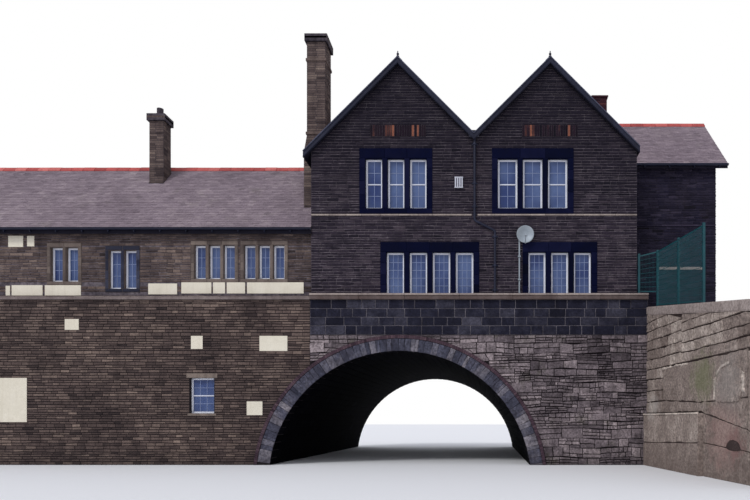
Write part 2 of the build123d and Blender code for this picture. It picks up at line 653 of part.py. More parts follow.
def capped_stack(spec, base, top, cap, overhang):
    """A square stack with a projecting cap. The top is the top of the cap."""
    left, right, front, rear = spec
    stack = block(left, right, front, rear, base, top - cap)
    return stack + block(left - overhang, right + overhang, front - overhang, rear + overhang, top - cap, top)


def chimney_pot(spec, top):
    """A round pot on the middle of a cap."""
    left, right, front, rear = spec
    centre = Pos((left + right) / 2, (front + rear) / 2, top + POT_HEIGHT / 2)
    return centre * (Cylinder(POT_RADIUS, POT_HEIGHT) - Cylinder(POT_RADIUS - POT_WALL, POT_HEIGHT))


def stack_tops():
    """Top of each stack's cap, above the roof that it comes through."""
    eave = GABLE_APEX - ROOF_DROP - (APEX_LEFT - BLOCK_LEFT) * SLOPE
    shoulder_high = eave + TALL_STACK_RISE
    return dict(
        shoulder_low=shoulder_high - TALL_SHOULDER_RISE,
        shoulder_high=shoulder_high,
        tall=shoulder_high + TALL_SHAFT + CAP_HEIGHT,
        end=MAIN_RIDGE + END_STACK_RISE + END_CAP_HEIGHT,
        left=LEFT_WING_RIDGE + LEFT_STACK_RISE + CAP_HEIGHT,
    )


def build_chimneys():
    """The three stacks. Returns the space that they take out of walls, floors and roofs."""
    left, right, front, rear = TALL_STACK
    tops = stack_tops()
    wide_left = left - TALL_STACK_BASE
    high = tops["shoulder_high"]
    outline = [(left, DECK_TOP), (left, high), (wide_left, tops["shoulder_low"]), (wide_left, DECK_TOP)]
    shoulder = front_shape(outline, front, rear)
    tall = capped_stack(TALL_STACK, DECK_TOP, tops["tall"], CAP_HEIGHT, CAP_OVERHANG) + shoulder
    band = BAND_OVERHANG
    for z in (high, tops["tall"] - CAP_HEIGHT - TALL_NECK):
        tall += block(left - band, right + band, front - band, rear + band, z, z + BAND_HEIGHT)
    wing_stack = capped_stack(LEFT_STACK, DECK_TOP, tops["left"], CAP_HEIGHT, CAP_OVERHANG)
    nodes["tall_chimney"] = tall
    nodes["end_chimney"] = capped_stack(END_STACK, DECK_TOP, tops["end"], END_CAP_HEIGHT, END_CAP_OVERHANG)
    nodes["left_wing_chimney"] = wing_stack + chimney_pot(LEFT_STACK, tops["left"])
    space = block(*TALL_STACK, DECK_TOP, tops["tall"]) + shoulder
    space += block(*END_STACK, DECK_TOP, tops["end"])
    space += block(*LEFT_STACK, DECK_TOP, tops["left"])
    return space


# Trim

def gutter(eave_y, eave_z, x0, x1, side):
    """A half round gutter along an eave. Side is -1 at the front and 1 at the rear."""
    centre = eave_y + side * GUTTER_RADIUS
    along = Pos((x0 + x1) / 2, centre, eave_z) * Rot(0, 90, 0)
    body = along * Cylinder(GUTTER_RADIUS, x1 - x0)
    hollow = along * Cylinder(GUTTER_RADIUS - GUTTER_WALL, x1 - x0)
    below = block(x0, x1, centre - GUTTER_RADIUS, centre + GUTTER_RADIUS, eave_z - GUTTER_RADIUS, eave_z)
    return (body - hollow) & below


def build_trim():
    main_eave = main_profile(0)[0][1] - GUTTER_DROP
    left_eave = LEFT_WING_EAVE - GUTTER_DROP
    wing_start = GABLES_RIGHT
    nodes["eaves_gutters"] = solids_of([
        gutter(MAIN_EAVE_FRONT, main_eave, wing_start, MAIN_RIGHT, -1),
        gutter(MAIN_EAVE_REAR, main_eave, wing_start, MAIN_RIGHT, 1),
        gutter(LEFT_EAVE_FRONT, left_eave, LEFT_WING_END - LEFT_VERGE, BLOCK_LEFT, -1),
        gutter(LEFT_EAVE_REAR, left_eave, LEFT_WING_END - LEFT_VERGE, BLOCK_LEFT, 1),
    ])
    y0 = BLOCK_SETBACK - STRING_PROJECTION
    pipe_left = PIPE_X_UPPER - PIPE_RADIUS - PIPE_GAP
    pipe_right = PIPE_X_UPPER + PIPE_RADIUS + PIPE_GAP
    heights = (STRING_TOP - STRING_HEIGHT, STRING_TOP)
    wing_y = MAIN_SETBACK - STRING_PROJECTION
    sill_right = RIGHT_WING_END - WING_SILL_INSET
    sill_low = LEDGE_TOP + WING_SILL_RISE
    nodes["string_course"] = solids_of([
        block(BLOCK_LEFT, pipe_left, y0, BLOCK_SETBACK, *heights),
        block(pipe_right, BLOCK_RIGHT, y0, BLOCK_SETBACK, *heights),
        block(BLOCK_RIGHT, RIGHT_WING_END, wing_y, MAIN_SETBACK, *heights),
        block(sill_right - WING_SILL_WIDTH, sill_right, wing_y, MAIN_SETBACK,
              sill_low, sill_low + WING_SILL_HEIGHT),
        mirrored(block(BLOCK_LEFT, BLOCK_RIGHT, y0, BLOCK_SETBACK, *heights), BLOCK_MID),
    ])
    nodes["downpipe"] = build_downpipe()
    vent_low = UPPER_SILL + VENT_RISE
    nodes["wall_vent"] = block(
        VENT_X - VENT_WIDTH / 2, VENT_X + VENT_WIDTH / 2, BLOCK_SETBACK - VENT_DEPTH, BLOCK_SETBACK,
        vent_low, vent_low + VENT_HEIGHT,
    )
    boards = []
    for x0, x1, z0, z1 in UPPER_BOARDS:
        face = LEFT_WING_SETBACK
        boards.append(block(x0, x1, face - PLATE_THICK, face, DECK_TOP + z0, DECK_TOP + z1))
    for x0, x1, z0, z1 in LOWER_BOARDS:
        boards.append(block(x0, x1, -PLATE_THICK, 0, z0, z1))
    nodes["wall_panels"] = solids_of(boards)


def build_downpipe():
    """The rainwater pipe from the valley to the ledge, with a swan neck beside the lower window."""
    y = BLOCK_SETBACK - WALL_GAP - PIPE_RADIUS
    neck_top = STRING_TOP - PIPE_NECK_TOP / 2
    neck_foot = neck_top - PIPE_NECK_DROP
    route = [(PIPE_X_UPPER, y, VALLEY_UNDER), (PIPE_X_UPPER, y, neck_top),
             (PIPE_X_LOWER, y, neck_foot), (PIPE_X_LOWER, y, LEDGE_TOP)]
    path = FilletPolyline(route, radius=PIPE_BEND)
    start = Plane(origin=route[0], z_dir=(0, 0, -1))
    return sweep(start * RegularPolygon(PIPE_RADIUS, PIPE_SIDES), path=path)


def build_aerial():
    """A shallow dish on an arm, on a pole that stands on the ledge."""
    y = BLOCK_SETBACK - STONE_PROUD - WALL_GAP - POLE_RADIUS
    top = LEDGE_TOP + POLE_HEIGHT
    dish_x = POLE_X + DISH_REACH
    pole = Pos(POLE_X, y, LEDGE_TOP + POLE_HEIGHT / 2) * Cylinder(POLE_RADIUS, POLE_HEIGHT)
    arm_face = y - POLE_RADIUS
    arm = block(POLE_X, dish_x + POLE_RADIUS, arm_face, y, top - 2 * POLE_RADIUS, top)
    rim = DISH_RADIUS
    flat = DISH_FLAT
    bowl = Cone(flat, rim, DISH_SAG)
    hollow = Pos(0, 0, DISH_SHELL) * Cone(flat, rim, DISH_SAG)
    facing = Pos(dish_x, arm_face - DISH_SAG / 2, top) * Rot(90, 0, 0)
    nodes["aerial"] = pole + arm + facing * (bowl - hollow)


# Wing wall and fence

def splay_x(y):
    """How far the wing wall leans outward at a distance y in front of the portal."""
    return WING_WALL_SPLAY * max(-y, 0) / WING_WALL_LENGTH


def wing_plan(inner, outer):
    """Plan outline of the wing wall between two offsets from its inner face."""
    front = -WING_WALL_LENGTH
    x = PORTAL_RIGHT
    return [(x + inner, PORTAL_THICK), (x + inner, 0), (x + inner + splay_x(front), front),
            (x + outer + splay_x(front), front), (x + outer, 0), (x + outer, PORTAL_THICK)]


def wing_top(y):
    """Height of the wall top at y, which falls towards the front."""
    return WING_TOP_BACK - (WING_TOP_BACK - WING_TOP_FRONT) * max(-y, 0) / WING_WALL_LENGTH


def wing_band(low_drop, high_drop):
    """The slice of the wing wall between two drops below its top line."""
    front = -WING_WALL_LENGTH
    back_low = max(wing_top(0) - low_drop, 0)
    points = [
        (PORTAL_THICK, wing_top(0) - high_drop), (0, wing_top(0) - high_drop),
        (front, wing_top(front) - high_drop), (front, max(wing_top(front) - low_drop, 0)),
        (0, back_low), (PORTAL_THICK, back_low),
    ]
    outer = PORTAL_RIGHT + WING_WALL_SPLAY + 2 * WING_WALL_THICK
    return side_shape(points, PORTAL_RIGHT - WING_WALL_THICK, outer)


def build_wing_wall():
    wall = plan_shape(wing_plan(0, WING_WALL_THICK), 0, WING_TOP_BACK) & wing_band(ABOVE_ALL, WING_COPING)
    plinth = plan_shape(
        [(PORTAL_RIGHT, 0), (PORTAL_RIGHT - PLINTH_PROJECTION, 0),
         (PORTAL_RIGHT - PLINTH_PROJECTION + splay_x(-PLINTH_LENGTH), -PLINTH_LENGTH),
         (PORTAL_RIGHT + splay_x(-PLINTH_LENGTH), -PLINTH_LENGTH)],
        0, PLINTH_TOP,
    )
    nodes["wing_wall"] = wall
    nodes["wing_wall_plinth"] = plinth
    coping = plan_shape(wing_plan(0, WING_WALL_THICK + WING_COPING_OVERHANG), 0, WING_TOP_BACK + 1)
    lip_back = PORTAL_RIGHT + splay_x(-LEDGE_PROJECTION)
    lip_front = PORTAL_RIGHT + splay_x(-WING_WALL_LENGTH)
    front_lip = plan_shape(
        [(lip_back, -LEDGE_PROJECTION), (lip_back - WING_COPING_OVERHANG, -LEDGE_PROJECTION),
         (lip_front - WING_COPING_OVERHANG, -WING_WALL_LENGTH), (lip_front, -WING_WALL_LENGTH)],
        0, WING_TOP_BACK + 1,
    )
    nodes["wing_wall_coping"] = (coping + front_lip) & wing_band(WING_COPING, 0)


def fence_post(x, y, base, top):
    half = FENCE_POST / 2
    return block(x - half, x + half, y - half, y + half, base, top)


def fence_panel(length, low_start, low_end, high_start, high_end):
    """A framed mesh panel along X from 0, between a sloping foot and a sloping head."""
    face = [(0, low_start), (length, low_end), (length, high_end), (0, high_start)]
    sheet = front_shape(face, -FENCE_FRAME / 2, FENCE_FRAME / 2)
    half = FENCE_BAR / 2

    def level(x, share):
        low = low_start + (low_end - low_start) * x / length
        high = high_start + (high_end - high_start) * x / length
        return low + (high - low) * share

    for column in range(FENCE_BARS):
        x0 = length * column / FENCE_BARS + half
        x1 = length * (column + 1) / FENCE_BARS - half
        for row in range(FENCE_BARS):
            foot, head = row / FENCE_BARS, (row + 1) / FENCE_BARS
            gap = [(x0, level(x0, foot) + half), (x1, level(x1, foot) + half),
                   (x1, level(x1, head) - half), (x0, level(x0, head) - half)]
            sheet -= front_shape(gap, -FENCE_FRAME, FENCE_FRAME)
    return sheet


def fence_top(y):
    """Height of the fence at y, which falls a little in each bay."""
    return WING_TOP_BACK + FENCE_HEIGHT - FENCE_FALL * max(-y, 0) / FENCE_BAY


def build_fence():
    posts = []
    panels = []
    half = FENCE_POST / 2
    line = PORTAL_RIGHT + FENCE_INSET
    starts = [-index * FENCE_BAY for index in range(FENCE_BAYS + 1)]
    for y in starts:
        post = fence_post(line + splay_x(y), y, wing_top(y - half) - WING_COPING / 2, fence_top(y))
        posts.append(post - wing_band(ABOVE_ALL, 0))
    for y in starts[:-1]:
        y_end = y - FENCE_BAY
        lean = math.atan2(splay_x(y_end) - splay_x(y), FENCE_BAY)
        clear = half + FENCE_CLEARANCE + FENCE_FRAME / 2 * math.sin(lean)
        run = (FENCE_BAY - 2 * clear) / math.cos(lean)
        lows = (wing_top(y - clear) + 2 * clear, wing_top(y_end + clear) + 2 * clear)
        highs = (fence_top(y - clear) - FENCE_TOP_GAP, fence_top(y_end + clear) - FENCE_TOP_GAP)
        panel = fence_panel(run, *lows, *highs)
        turn = Rot(0, 0, math.degrees(lean) - 90)
        panels.append(Pos(line + splay_x(y - clear), y - clear, 0) * turn * panel)
    return_top = fence_top(0) - FENCE_RETURN_DROP
    posts.append(fence_post(BLOCK_RIGHT + half, -half, LEDGE_TOP, return_top))
    return_run = line - half - (BLOCK_RIGHT + FENCE_POST)
    low = LEDGE_TOP + FENCE_POST
    back = fence_panel(return_run, low, low, return_top - FENCE_TOP_GAP, fence_top(0) - FENCE_TOP_GAP)
    panels.append(Pos(BLOCK_RIGHT + FENCE_POST, 0, 0) * back)
    nodes["fence_posts"] = solids_of(posts)
    nodes["fence_panels"] = solids_of(panels)


def export_all():
    os.makedirs("parts", exist_ok=True)
    boxes = [piece.bounding_box() for piece in nodes.values()]
    x0 = min(b.min.X for b in boxes)
    x1 = max(b.max.X for b in boxes)
    y0 = min(b.min.Y for b in boxes)
    y1 = max(b.max.Y for b in boxes)
    z0 = min(b.min.Z for b in boxes)
    shift = Pos(-(x0 + x1) / 2, -(y0 + y1) / 2, -z0)
    for name, piece in nodes.items():
        export_step(shift * piece, f"parts/{name}.step")


build_bridge()
chimney_space = build_chimneys()
window_holes, wing_window_holes = build_windows()
build_block(window_holes, chimney_space)
build_main_roofs(chimney_space)
build_ridges(chimney_space)
build_barges()
build_left_wing(wing_window_holes, chimney_space)
build_trim()
build_aerial()
build_wing_wall()
build_fence()
export_all()
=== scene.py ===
import math
from collections import namedtuple

import bmesh
import bpy
import numpy as np
from mathutils import Matrix, Vector


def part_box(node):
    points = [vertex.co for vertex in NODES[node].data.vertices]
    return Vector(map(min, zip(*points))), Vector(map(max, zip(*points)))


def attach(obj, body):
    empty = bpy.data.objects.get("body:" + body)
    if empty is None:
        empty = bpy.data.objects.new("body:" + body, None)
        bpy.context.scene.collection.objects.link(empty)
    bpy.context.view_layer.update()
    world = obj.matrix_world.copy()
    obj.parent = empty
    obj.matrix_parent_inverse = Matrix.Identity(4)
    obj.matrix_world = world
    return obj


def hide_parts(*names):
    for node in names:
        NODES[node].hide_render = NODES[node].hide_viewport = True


bl_info = {
    "name": "Railway station building",
    "version": (1, 0, 0),
    "blender": (4, 5, 0),
    "location": "View3D > Sidebar > Station",
    "description": "Stones, tiles, joinery and finishes of a twin gabled station building over a tunnel arch",
    "category": "Object",
}

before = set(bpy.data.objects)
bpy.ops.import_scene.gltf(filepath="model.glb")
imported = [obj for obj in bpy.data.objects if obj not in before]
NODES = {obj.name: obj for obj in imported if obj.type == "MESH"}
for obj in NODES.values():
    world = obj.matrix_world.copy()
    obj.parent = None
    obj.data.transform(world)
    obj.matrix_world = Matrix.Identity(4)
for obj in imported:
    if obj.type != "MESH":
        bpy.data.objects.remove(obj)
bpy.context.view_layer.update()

# The building is drawn about the arch: x to the right, y into the tunnel, z up from the track bed, in metres
RING_PROUD = 0.04
ring_low, ring_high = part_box("voussoir_ring_front")
ORIGIN = np.array(((ring_low.x + ring_high.x) / 2, ring_low.y + RING_PROUD, 0.0))

# Arch and portal
ARCH_RADIUS = 4.52
ARCH_DROP = 0.59
ARCH_STONES = 51
RING = 0.43
HOOD = 0.12
HOOD_PROUD = 0.075
TUNNEL = 15.0
PORTAL_LEFT = -6.0
PORTAL_RIGHT = 8.55
PORTAL_THICK = 0.9
PARAPET_THICK = 0.45
PARAPET_TOP = 6.7

# Levels
COURSES_FOOT = 4.49
DECK = 5.7
LEDGE = 5.9
STRING = 8.7

# Block with the twin gables
BLOCK_LEFT = -3.1
BLOCK_RIGHT = 8.2
BLOCK_FRONT = 0.15
BLOCK_REAR = 7.15
BLOCK_MID = 3.65
APEX_LEFT = -0.085
APEX_RIGHT = 5.185
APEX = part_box("gable_roof_right")[1].z
SOFFIT_DROP = 0.1838
VALLEY_X = 2.55
VALLEY_HALF = 0.17
VALLEY_LEFT = VALLEY_X - VALLEY_HALF
VALLEY_RIGHT = VALLEY_X + VALLEY_HALF
VALLEY_TOP = APEX - (APEX_RIGHT - VALLEY_X - VALLEY_HALF)
VERGE_REAR = 7.3
GABLES_LEFT = BLOCK_LEFT - 0.24
GABLES_RIGHT = BLOCK_RIGHT + 0.07

# Panels of upright bricks in the gables
PANEL_HALF = 0.965
PANEL_FOOT = 11.39
PANEL_HEAD = 11.79

# Main range and right wing
MAIN_FRONT = 1.35
MAIN_REAR = 5.95
MAIN_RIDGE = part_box("main_roof")[1].z
MAIN_EAVE = 1.1
WING_RIGHT = 11.37
MAIN_END = 11.72

# Left wing
WING_LEFT = -16.4
WING_FRONT = 0.35
WING_REAR = 6.45
WING_MID = 3.4
WING_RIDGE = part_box("left_wing_roof")[1].z
WING_EAVE = WING_RIDGE - 3.3
WING_SOFFIT = 0.2263
WING_VERGE = WING_LEFT - 0.2
WING_EAVES = (0.1, 6.7)
WING_LEDGE = 5.86
BOARD_CLEAR = 0.01

# Rows of windows. Each window has its centre, sill, head and the width of each light. A row has the widths of its
# mullions, jambs, lintel and sill stones, its wall's front and rear, its panes across and up each light, and whether
# its sashes slide.
Row = namedtuple("Row", "windows mullion jamb lintel sill front rear across up sliding")
UPPER_ROW = Row([(-0.16, 8.9, 10.63, (0.58,) * 3), (4.59, 8.9, 10.63, (0.68,) * 3)],
                0.19, 0.207, 0.35, 0.2, BLOCK_FRONT, BLOCK_REAR, 2, 4, True)
LOWER_ROW = Row([(1.017, 5.9, 7.38, (0.612,) * 4), (5.53, 5.9, 7.38, (0.6,) * 3)],
                0.19, 0.207, 0.35, 0.0, BLOCK_FRONT, BLOCK_REAR, 3, 5, False)
LEFT_ROW = Row([(-14.7, 6.4, 7.6, (0.43,) * 2), (-11.8, 6.4, 7.6, (0.43,) * 2), (-9.76, 6.15, 7.5, (0.43,) * 2),
                (-6.54, 6.49, 7.68, (0.4,) * 3), (-4.8, 6.49, 7.68, (0.4,) * 3)],
               0.11, 0.12, 0.15, 0.12, WING_FRONT, WING_REAR, 2, 3, False)
BASEMENT_ROW = Row([(-6.825, 1.78, 3.0, (0.83,))], 0.0, 0.0, 0.0, 0.0, 0.0, None, 3, 4, True)
TIMBER_WINDOW = LEFT_ROW.windows[2]

# Blank boards on the left wing: left, right, bottom and top
UPPER_BOARDS = [
    (-13.85, -13.7, 5.91, 6.25), (-13.64, -12.56, 5.91, 6.27), (-12.48, -11.22, 5.91, 6.27),
    (-8.86, -7.85, 5.95, 6.33), (-7.7, -6.65, 5.98, 6.37), (-6.59, -6.17, 5.98, 6.37), (-6.11, -5.47, 5.98, 6.37),
    (-5.4, -3.42, 5.98, 6.37), (-13.76, -13.24, 7.61, 8.0), (-13.1, -12.85, 7.63, 8.0),
]
LOWER_BOARDS = [
    (-4.84, -3.88, 3.93, 4.45), (-5.28, -4.74, 1.72, 2.19), (-7.2, -6.8, 4.0, 4.45),
    (-11.55, -11.07, 4.66, 5.03), (-13.79, -12.86, 1.48, 3.0),
]

# Wing wall
WALL_RUN = 8.0
WALL_SPLAY = 0.77
WALL_THICK = 0.8
WALL_TOP_BACK = 5.45
WALL_TOP_FRONT = 4.25
WALL_COPING = 0.28
PLINTH_PROUD = 0.15
PLINTH_END = 4.42
FENCE_BAY = 1.83

# Chimney stacks: left, right, front, rear
TALL_STACK = (-3.518, -2.853, 1.1, 1.9)
END_STACK = (7.19, 7.75, 3.3, 4.0)
LEFT_STACK = (-9.98, -9.43, 2.53, 3.08)
STACK_CLEAR = 0.02


# Pieces made of small blocks

class Heap:
    """Copies of small blocks, which become one piece of the scene when the operator ends."""

    waiting = []

    def __init__(self, name, finish, slot, *replaces):
        self.name, self.finish, self.slot, self.replaces = name, finish, slot, replaces
        self.points, self.corners, self.sizes, self.tones = [], [], [], []
        self.count = 0
        self.waiting.append(self)

    def add(self, block, points, tones):
        copies, size = points.shape[:2]
        starts = self.count + np.arange(copies)[:, None] * size
        self.points.append(points.reshape(-1, 3))
        self.corners.append((starts + block.corners[None, :]).ravel())
        self.sizes.append(np.tile(block.sizes, copies))
        self.tones.append(np.repeat(np.asarray(tones, float), size))
        self.count += copies * size

    def make_piece(self):
        points, corners, sizes = (np.concatenate(part) for part in (self.points, self.corners, self.sizes))
        mesh = bpy.data.meshes.new(self.name)
        mesh.vertices.add(len(points))
        mesh.vertices.foreach_set("co", points.ravel())
        mesh.loops.add(len(corners))
        mesh.loops.foreach_set("vertex_index", corners)
        mesh.polygons.add(len(sizes))
        mesh.polygons.foreach_set("loop_start", np.concatenate(([0], np.cumsum(sizes)[:-1])))
        mesh.update(calc_edges=True)
        mesh.shade_flat()
        tone = mesh.attributes.new("tone", "FLOAT", "POINT")
        tone.data.foreach_set("value", np.concatenate(self.tones))
        mesh.materials.append(bpy.data.materials[self.finish])
        thing = bpy.data.objects.new(self.name, mesh)
        bpy.context.scene.collection.objects.link(thing)
        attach(thing, "root")
        if self.replaces:
            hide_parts(*self.replaces)


# Small modelled blocks

class Block:
    """The points and faces of one small block, modelled in edit mode in a unit cube."""

    def __init__(self, thing):
        bpy.ops.object.mode_set(mode="OBJECT")
        mesh = thing.data
        self.points = np.array([v.co for v in mesh.vertices], float)
        self.corners = np.array([i for p in mesh.polygons for i in p.vertices])
        self.sizes = np.array([len(p.vertices) for p in mesh.polygons])
        bpy.data.objects.remove(thing)
        bpy.data.meshes.remove(mesh)


def at_front(middle):
    return middle.y < -0.49


def at_back(middle):
    return middle.y > 0.49


def pick(thing, kind, test):
    """In edit mode, selects the vertices, edges or faces whose middle passes a test."""
    bpy.ops.mesh.select_mode(type=kind)
    bpy.ops.mesh.select_all(action="DESELECT")
    shape = bmesh.from_edit_mesh(thing.data)
    for item in {"VERT": shape.verts, "EDGE": shape.edges, "FACE": shape.faces}[kind]:
        points = [item.co] if kind == "VERT" else [v.co for v in item.verts]
        item.select_set(test(sum(points, Vector()) / len(points)))
    shape.select_flush_mode()
    bmesh.update_edit_mesh(thing.data)


def start_cube(open_back=True):
    """A unit cube in edit mode, open behind where it is laid on a wall."""
    bpy.ops.object.select_all(action="DESELECT")
    bpy.ops.mesh.primitive_cube_add(size=1)
    thing = bpy.context.object
    bpy.ops.object.mode_set(mode="EDIT")
    if open_back:
        pick(thing, "FACE", at_back)
        bpy.ops.mesh.delete(type="FACE")
    else:
        bpy.ops.mesh.select_all(action="SELECT")
    return thing


def roughen(thing, offset, seed):
    pick(thing, "VERT", lambda v: v.y < -0.45)
    bpy.ops.transform.vertex_random(offset=offset, seed=seed)


def model_stone(bevel, swell=0.0, rough=0.0, seed=0):
    """A block with bevelled front edges, and a swollen and uneven face where it is rock faced."""
    thing = start_cube()
    pick(thing, "EDGE", at_front)
    bpy.ops.mesh.bevel(offset=bevel, segments=1)
    if swell:
        pick(thing, "FACE", lambda m: m.y < -0.499)
        bpy.ops.mesh.inset(thickness=2.5 * bevel)
        bpy.ops.transform.translate(value=(0, -swell, 0))
        roughen(thing, rough, seed)
    return Block(thing)


def wall_stones(seed):
    return [model_stone(0.006), model_stone(0.009), model_stone(0.008, 0.004, 0.003, seed)]


def model_rubble(swell, rough, seeds):
    """Rock faced blocks: their front edges are broken up, their faces swell and all of it is uneven."""
    blocks = []
    for seed in seeds:
        thing = start_cube()
        pick(thing, "EDGE", at_front)
        bpy.ops.mesh.subdivide(number_cuts=2)
        pick(thing, "FACE", at_front)
        bpy.ops.mesh.inset(thickness=0.014)
        bpy.ops.transform.translate(value=(0, -swell, 0))
        roughen(thing, rough, seed)
        blocks.append(Block(thing))
    return blocks


def model_coat(bevel):
    """A length of render coat, with bevelled upper and lower edges and plain ends to join on."""
    thing = start_cube()
    pick(thing, "EDGE", lambda m: at_front(m) and abs(m.z) > 0.49)
    bpy.ops.mesh.bevel(offset=bevel, segments=1)
    return Block(thing)


def model_bar(bevel, rounding=1):
    """A bar or slab with all its edges bevelled."""
    thing = start_cube(open_back=False)
    bpy.ops.mesh.bevel(offset=bevel, segments=rounding)
    return Block(thing)


def model_tile(thick, tilt):
    """A roof tile that is thick at its lower edge and runs under the course above."""
    thing = start_cube()
    pick(thing, "FACE", lambda m: m.z > 0.49)
    bpy.ops.mesh.delete(type="FACE")
    pick(thing, "EDGE", lambda m: at_front(m) and m.z > 0.49)
    bpy.ops.transform.translate(value=(0, tilt, 0))
    pick(thing, "EDGE", lambda m: at_front(m) and m.z < -0.49)
    bpy.ops.mesh.bevel(offset=thick / 3, segments=1)
    return Block(thing)


def model_sash(width, splay, depth):
    """A window frame: a flat face, a splayed inner edge and an open middle."""
    thing = start_cube()
    pick(thing, "FACE", at_front)
    bpy.ops.mesh.inset(thickness=width - splay)
    bpy.ops.mesh.inset(thickness=splay)
    bpy.ops.transform.translate(value=(0, splay * 0.8, 0))
    bpy.ops.mesh.extrude_region_move(TRANSFORM_OT_translate={"value": (0, depth - splay * 0.8, 0)})
    bpy.ops.mesh.delete(type="FACE")
    return Block(thing)


def model_round(sides, bevel=0.06):
    """A round of unit width and height with bevelled ends."""
    bpy.ops.object.select_all(action="DESELECT")
    bpy.ops.mesh.primitive_cylinder_add(vertices=sides, radius=0.5, depth=1)
    thing = bpy.context.object
    bpy.ops.object.mode_set(mode="EDIT")
    pick(thing, "FACE", lambda m: abs(m.z) > 0.49)
    bpy.ops.mesh.inset(thickness=bevel)
    bpy.ops.transform.resize(value=(1, 1, 1.04))
    return Block(thing)


def model_ridge():
    """One ridge tile: a bent cap with a thick rolled joint at its end, a unit long."""
    thing = start_cube(open_back=False)
    bpy.ops.transform.resize(value=(0.3, 1.0, 0.045))
    bpy.ops.mesh.subdivide(number_cuts=1)
    pick(thing, "VERT", lambda v: abs(v.x) < 0.01)
    bpy.ops.transform.translate(value=(0, 0, 0.15))
    pick(thing, "FACE", lambda m: m.y < -0.499)
    bpy.ops.mesh.extrude_region_move(TRANSFORM_OT_translate={"value": (0, -0.001, 0)})
    bpy.ops.transform.resize(value=(1.1, 1.0, 1.06))
    return Block(thing)


# Faces of the building, and what is laid on them

def face(origin, along, up=(0, 0, 1)):
    """A flat face to lay stones on: a point, its two directions and its outward direction."""
    along = np.array(along, float) / np.linalg.norm(along)
    up = np.array(up, float) / np.linalg.norm(up)
    return np.array(origin, float) + ORIGIN, along, up, np.cross(along, up)


def front_face(y):
    return face((0, y, 0), (1, 0, 0))


def rear_face(y):
    return face((0, y, 0), (-1, 0, 0))


def right_face(x):
    return face((x, 0, 0), (0, 1, 0))


def left_face(x):
    return face((x, 0, 0), (0, -1, 0))


def flipped(rings):
    """Outlines for a face whose direction along the wall is reversed."""
    return [[(-u, v) for u, v in ring] for ring in rings]


def rectangle(u0, u1, v0, v1):
    return [(u0, v0), (u1, v0), (u1, v1), (u0, v1)]


def lengths(cuts, low, high):
    """Corners of the lengths of a level strip between its cuts."""
    return np.array([rectangle(a, b, low, high) for a, b in zip(cuts, cuts[1:])])


def split_edges(values):
    """For points of a block along one axis: their share of its length, and the edge that is kept as it is."""
    outer = np.abs(values) > 0.3
    share = np.where(outer, values > 0, values + 0.5)
    kept = np.where(outer, np.sign(values) * (0.5 - np.abs(values)), 0)
    return share[None, :, None], kept[None, :, None]


def laid(block, quads, proud, surface, back):
    """Points of copies of a block, stretched to their corners with the edges kept."""
    origin, along, up, out = surface
    x, y, z = block.points.T
    s, in_x = split_edges(x)
    t, in_z = split_edges(z)
    a, b, c, d = (quads[:, i, None, :] for i in range(4))
    point = (a * (1 - s) + b * s) * (1 - t) + (d * (1 - s) + c * s) * t
    across = (b - a) * (1 - t) + (c - d) * t
    rise = (d - a) * (1 - s) + (c - b) * s
    across = across / np.maximum(np.linalg.norm(across, axis=2, keepdims=True), 1e-6)
    rise = rise / np.maximum(np.linalg.norm(rise, axis=2, keepdims=True), 1e-6)
    point = point - across * in_x - rise * in_z
    depth = np.where(y > 0.3, back, proud[:, None] - (y + 0.5)[None, :])
    return origin + point[..., :1] * along + point[..., 1:] * up + depth[..., None] * out


def lay(heap, blocks, surface, quads, proud, tones, rng, back=0.0):
    """Lays one of the blocks in each set of corners."""
    quads = np.asarray(quads, float)
    proud = np.broadcast_to(proud, len(quads))
    which = rng.integers(len(blocks), size=len(quads))
    for index, block in enumerate(blocks):
        mine = which == index
        if mine.any():
            heap.add(block, laid(block, quads[mine], proud[mine], surface, back), tones[mine])


def partition(count, rng, spread):
    """Marks from 0 to 1 that divide a length into uneven shares."""
    shares = 1 + (rng.random(count) - 0.5) * 2 * spread
    return np.concatenate(([0], np.cumsum(shares) / shares.sum()))


def uneven(start, stop, count, rng, spread):
    """Marks that divide the way from start to stop into uneven lengths."""
    return start + (stop - start) * partition(count, rng, spread)


def some_tones(rng, count, middle, spread):
    return np.clip(rng.normal(middle, spread, count), 0, 1)


def level_cuts(ring, v):
    """Where a level line runs inside one outline, as pairs of u."""
    found = []
    for (u0, v0), (u1, v1) in zip(ring, ring[1:] + ring[:1]):
        if (v0 <= v) != (v1 <= v):
            found.append(u0 + (u1 - u0) * (v - v0) / (v1 - v0))
    found.sort()
    return list(zip(found[::2], found[1::2]))


def crossings(rings, v):
    """Where a level line runs inside the first outline and outside all the others."""
    spans = level_cuts(rings[0], v)
    for ring in rings[1:]:
        for h0, h1 in level_cuts(ring, v):
            cut = [part for a, b in spans for part in ((a, min(b, h0)), (max(a, h1), b))]
            spans = [part for part in cut if part[1] - part[0] > 1e-3]
    return spans


def bays(rings, low, high):
    """The stretches of one course, each as left and right below and right and left above."""
    step = (high - low) * 0.02
    below, above = crossings(rings, low + step), crossings(rings, high - step)
    if len(below) != len(above):
        below = above = crossings(rings, (low + high) / 2)
    return [(a, b, c, d) for (a, b), (d, c) in zip(below, above)]


def course_lines(rings, height, rng, spread):
    """Levels of the bed joints, and those of them that meet the level edges of the outlines."""
    bottom, top = min(v for u, v in rings[0]), max(v for u, v in rings[0])
    keys = {round(bottom, 4), round(top, 4)}
    for ring in rings:
        for (u0, v0), (u1, v1) in zip(ring, ring[1:] + ring[:1]):
            if abs(v1 - v0) < 1e-6 and bottom < v0 < top:
                keys.add(round(v0, 4))
    keys = sorted(keys)
    lines = [keys[0]]
    for low, high in zip(keys, keys[1:]):
        count = max(1, round((high - low) / height))
        lines += [low + (high - low) * m for m in partition(count, rng, spread)[1:]]
    return lines, keys


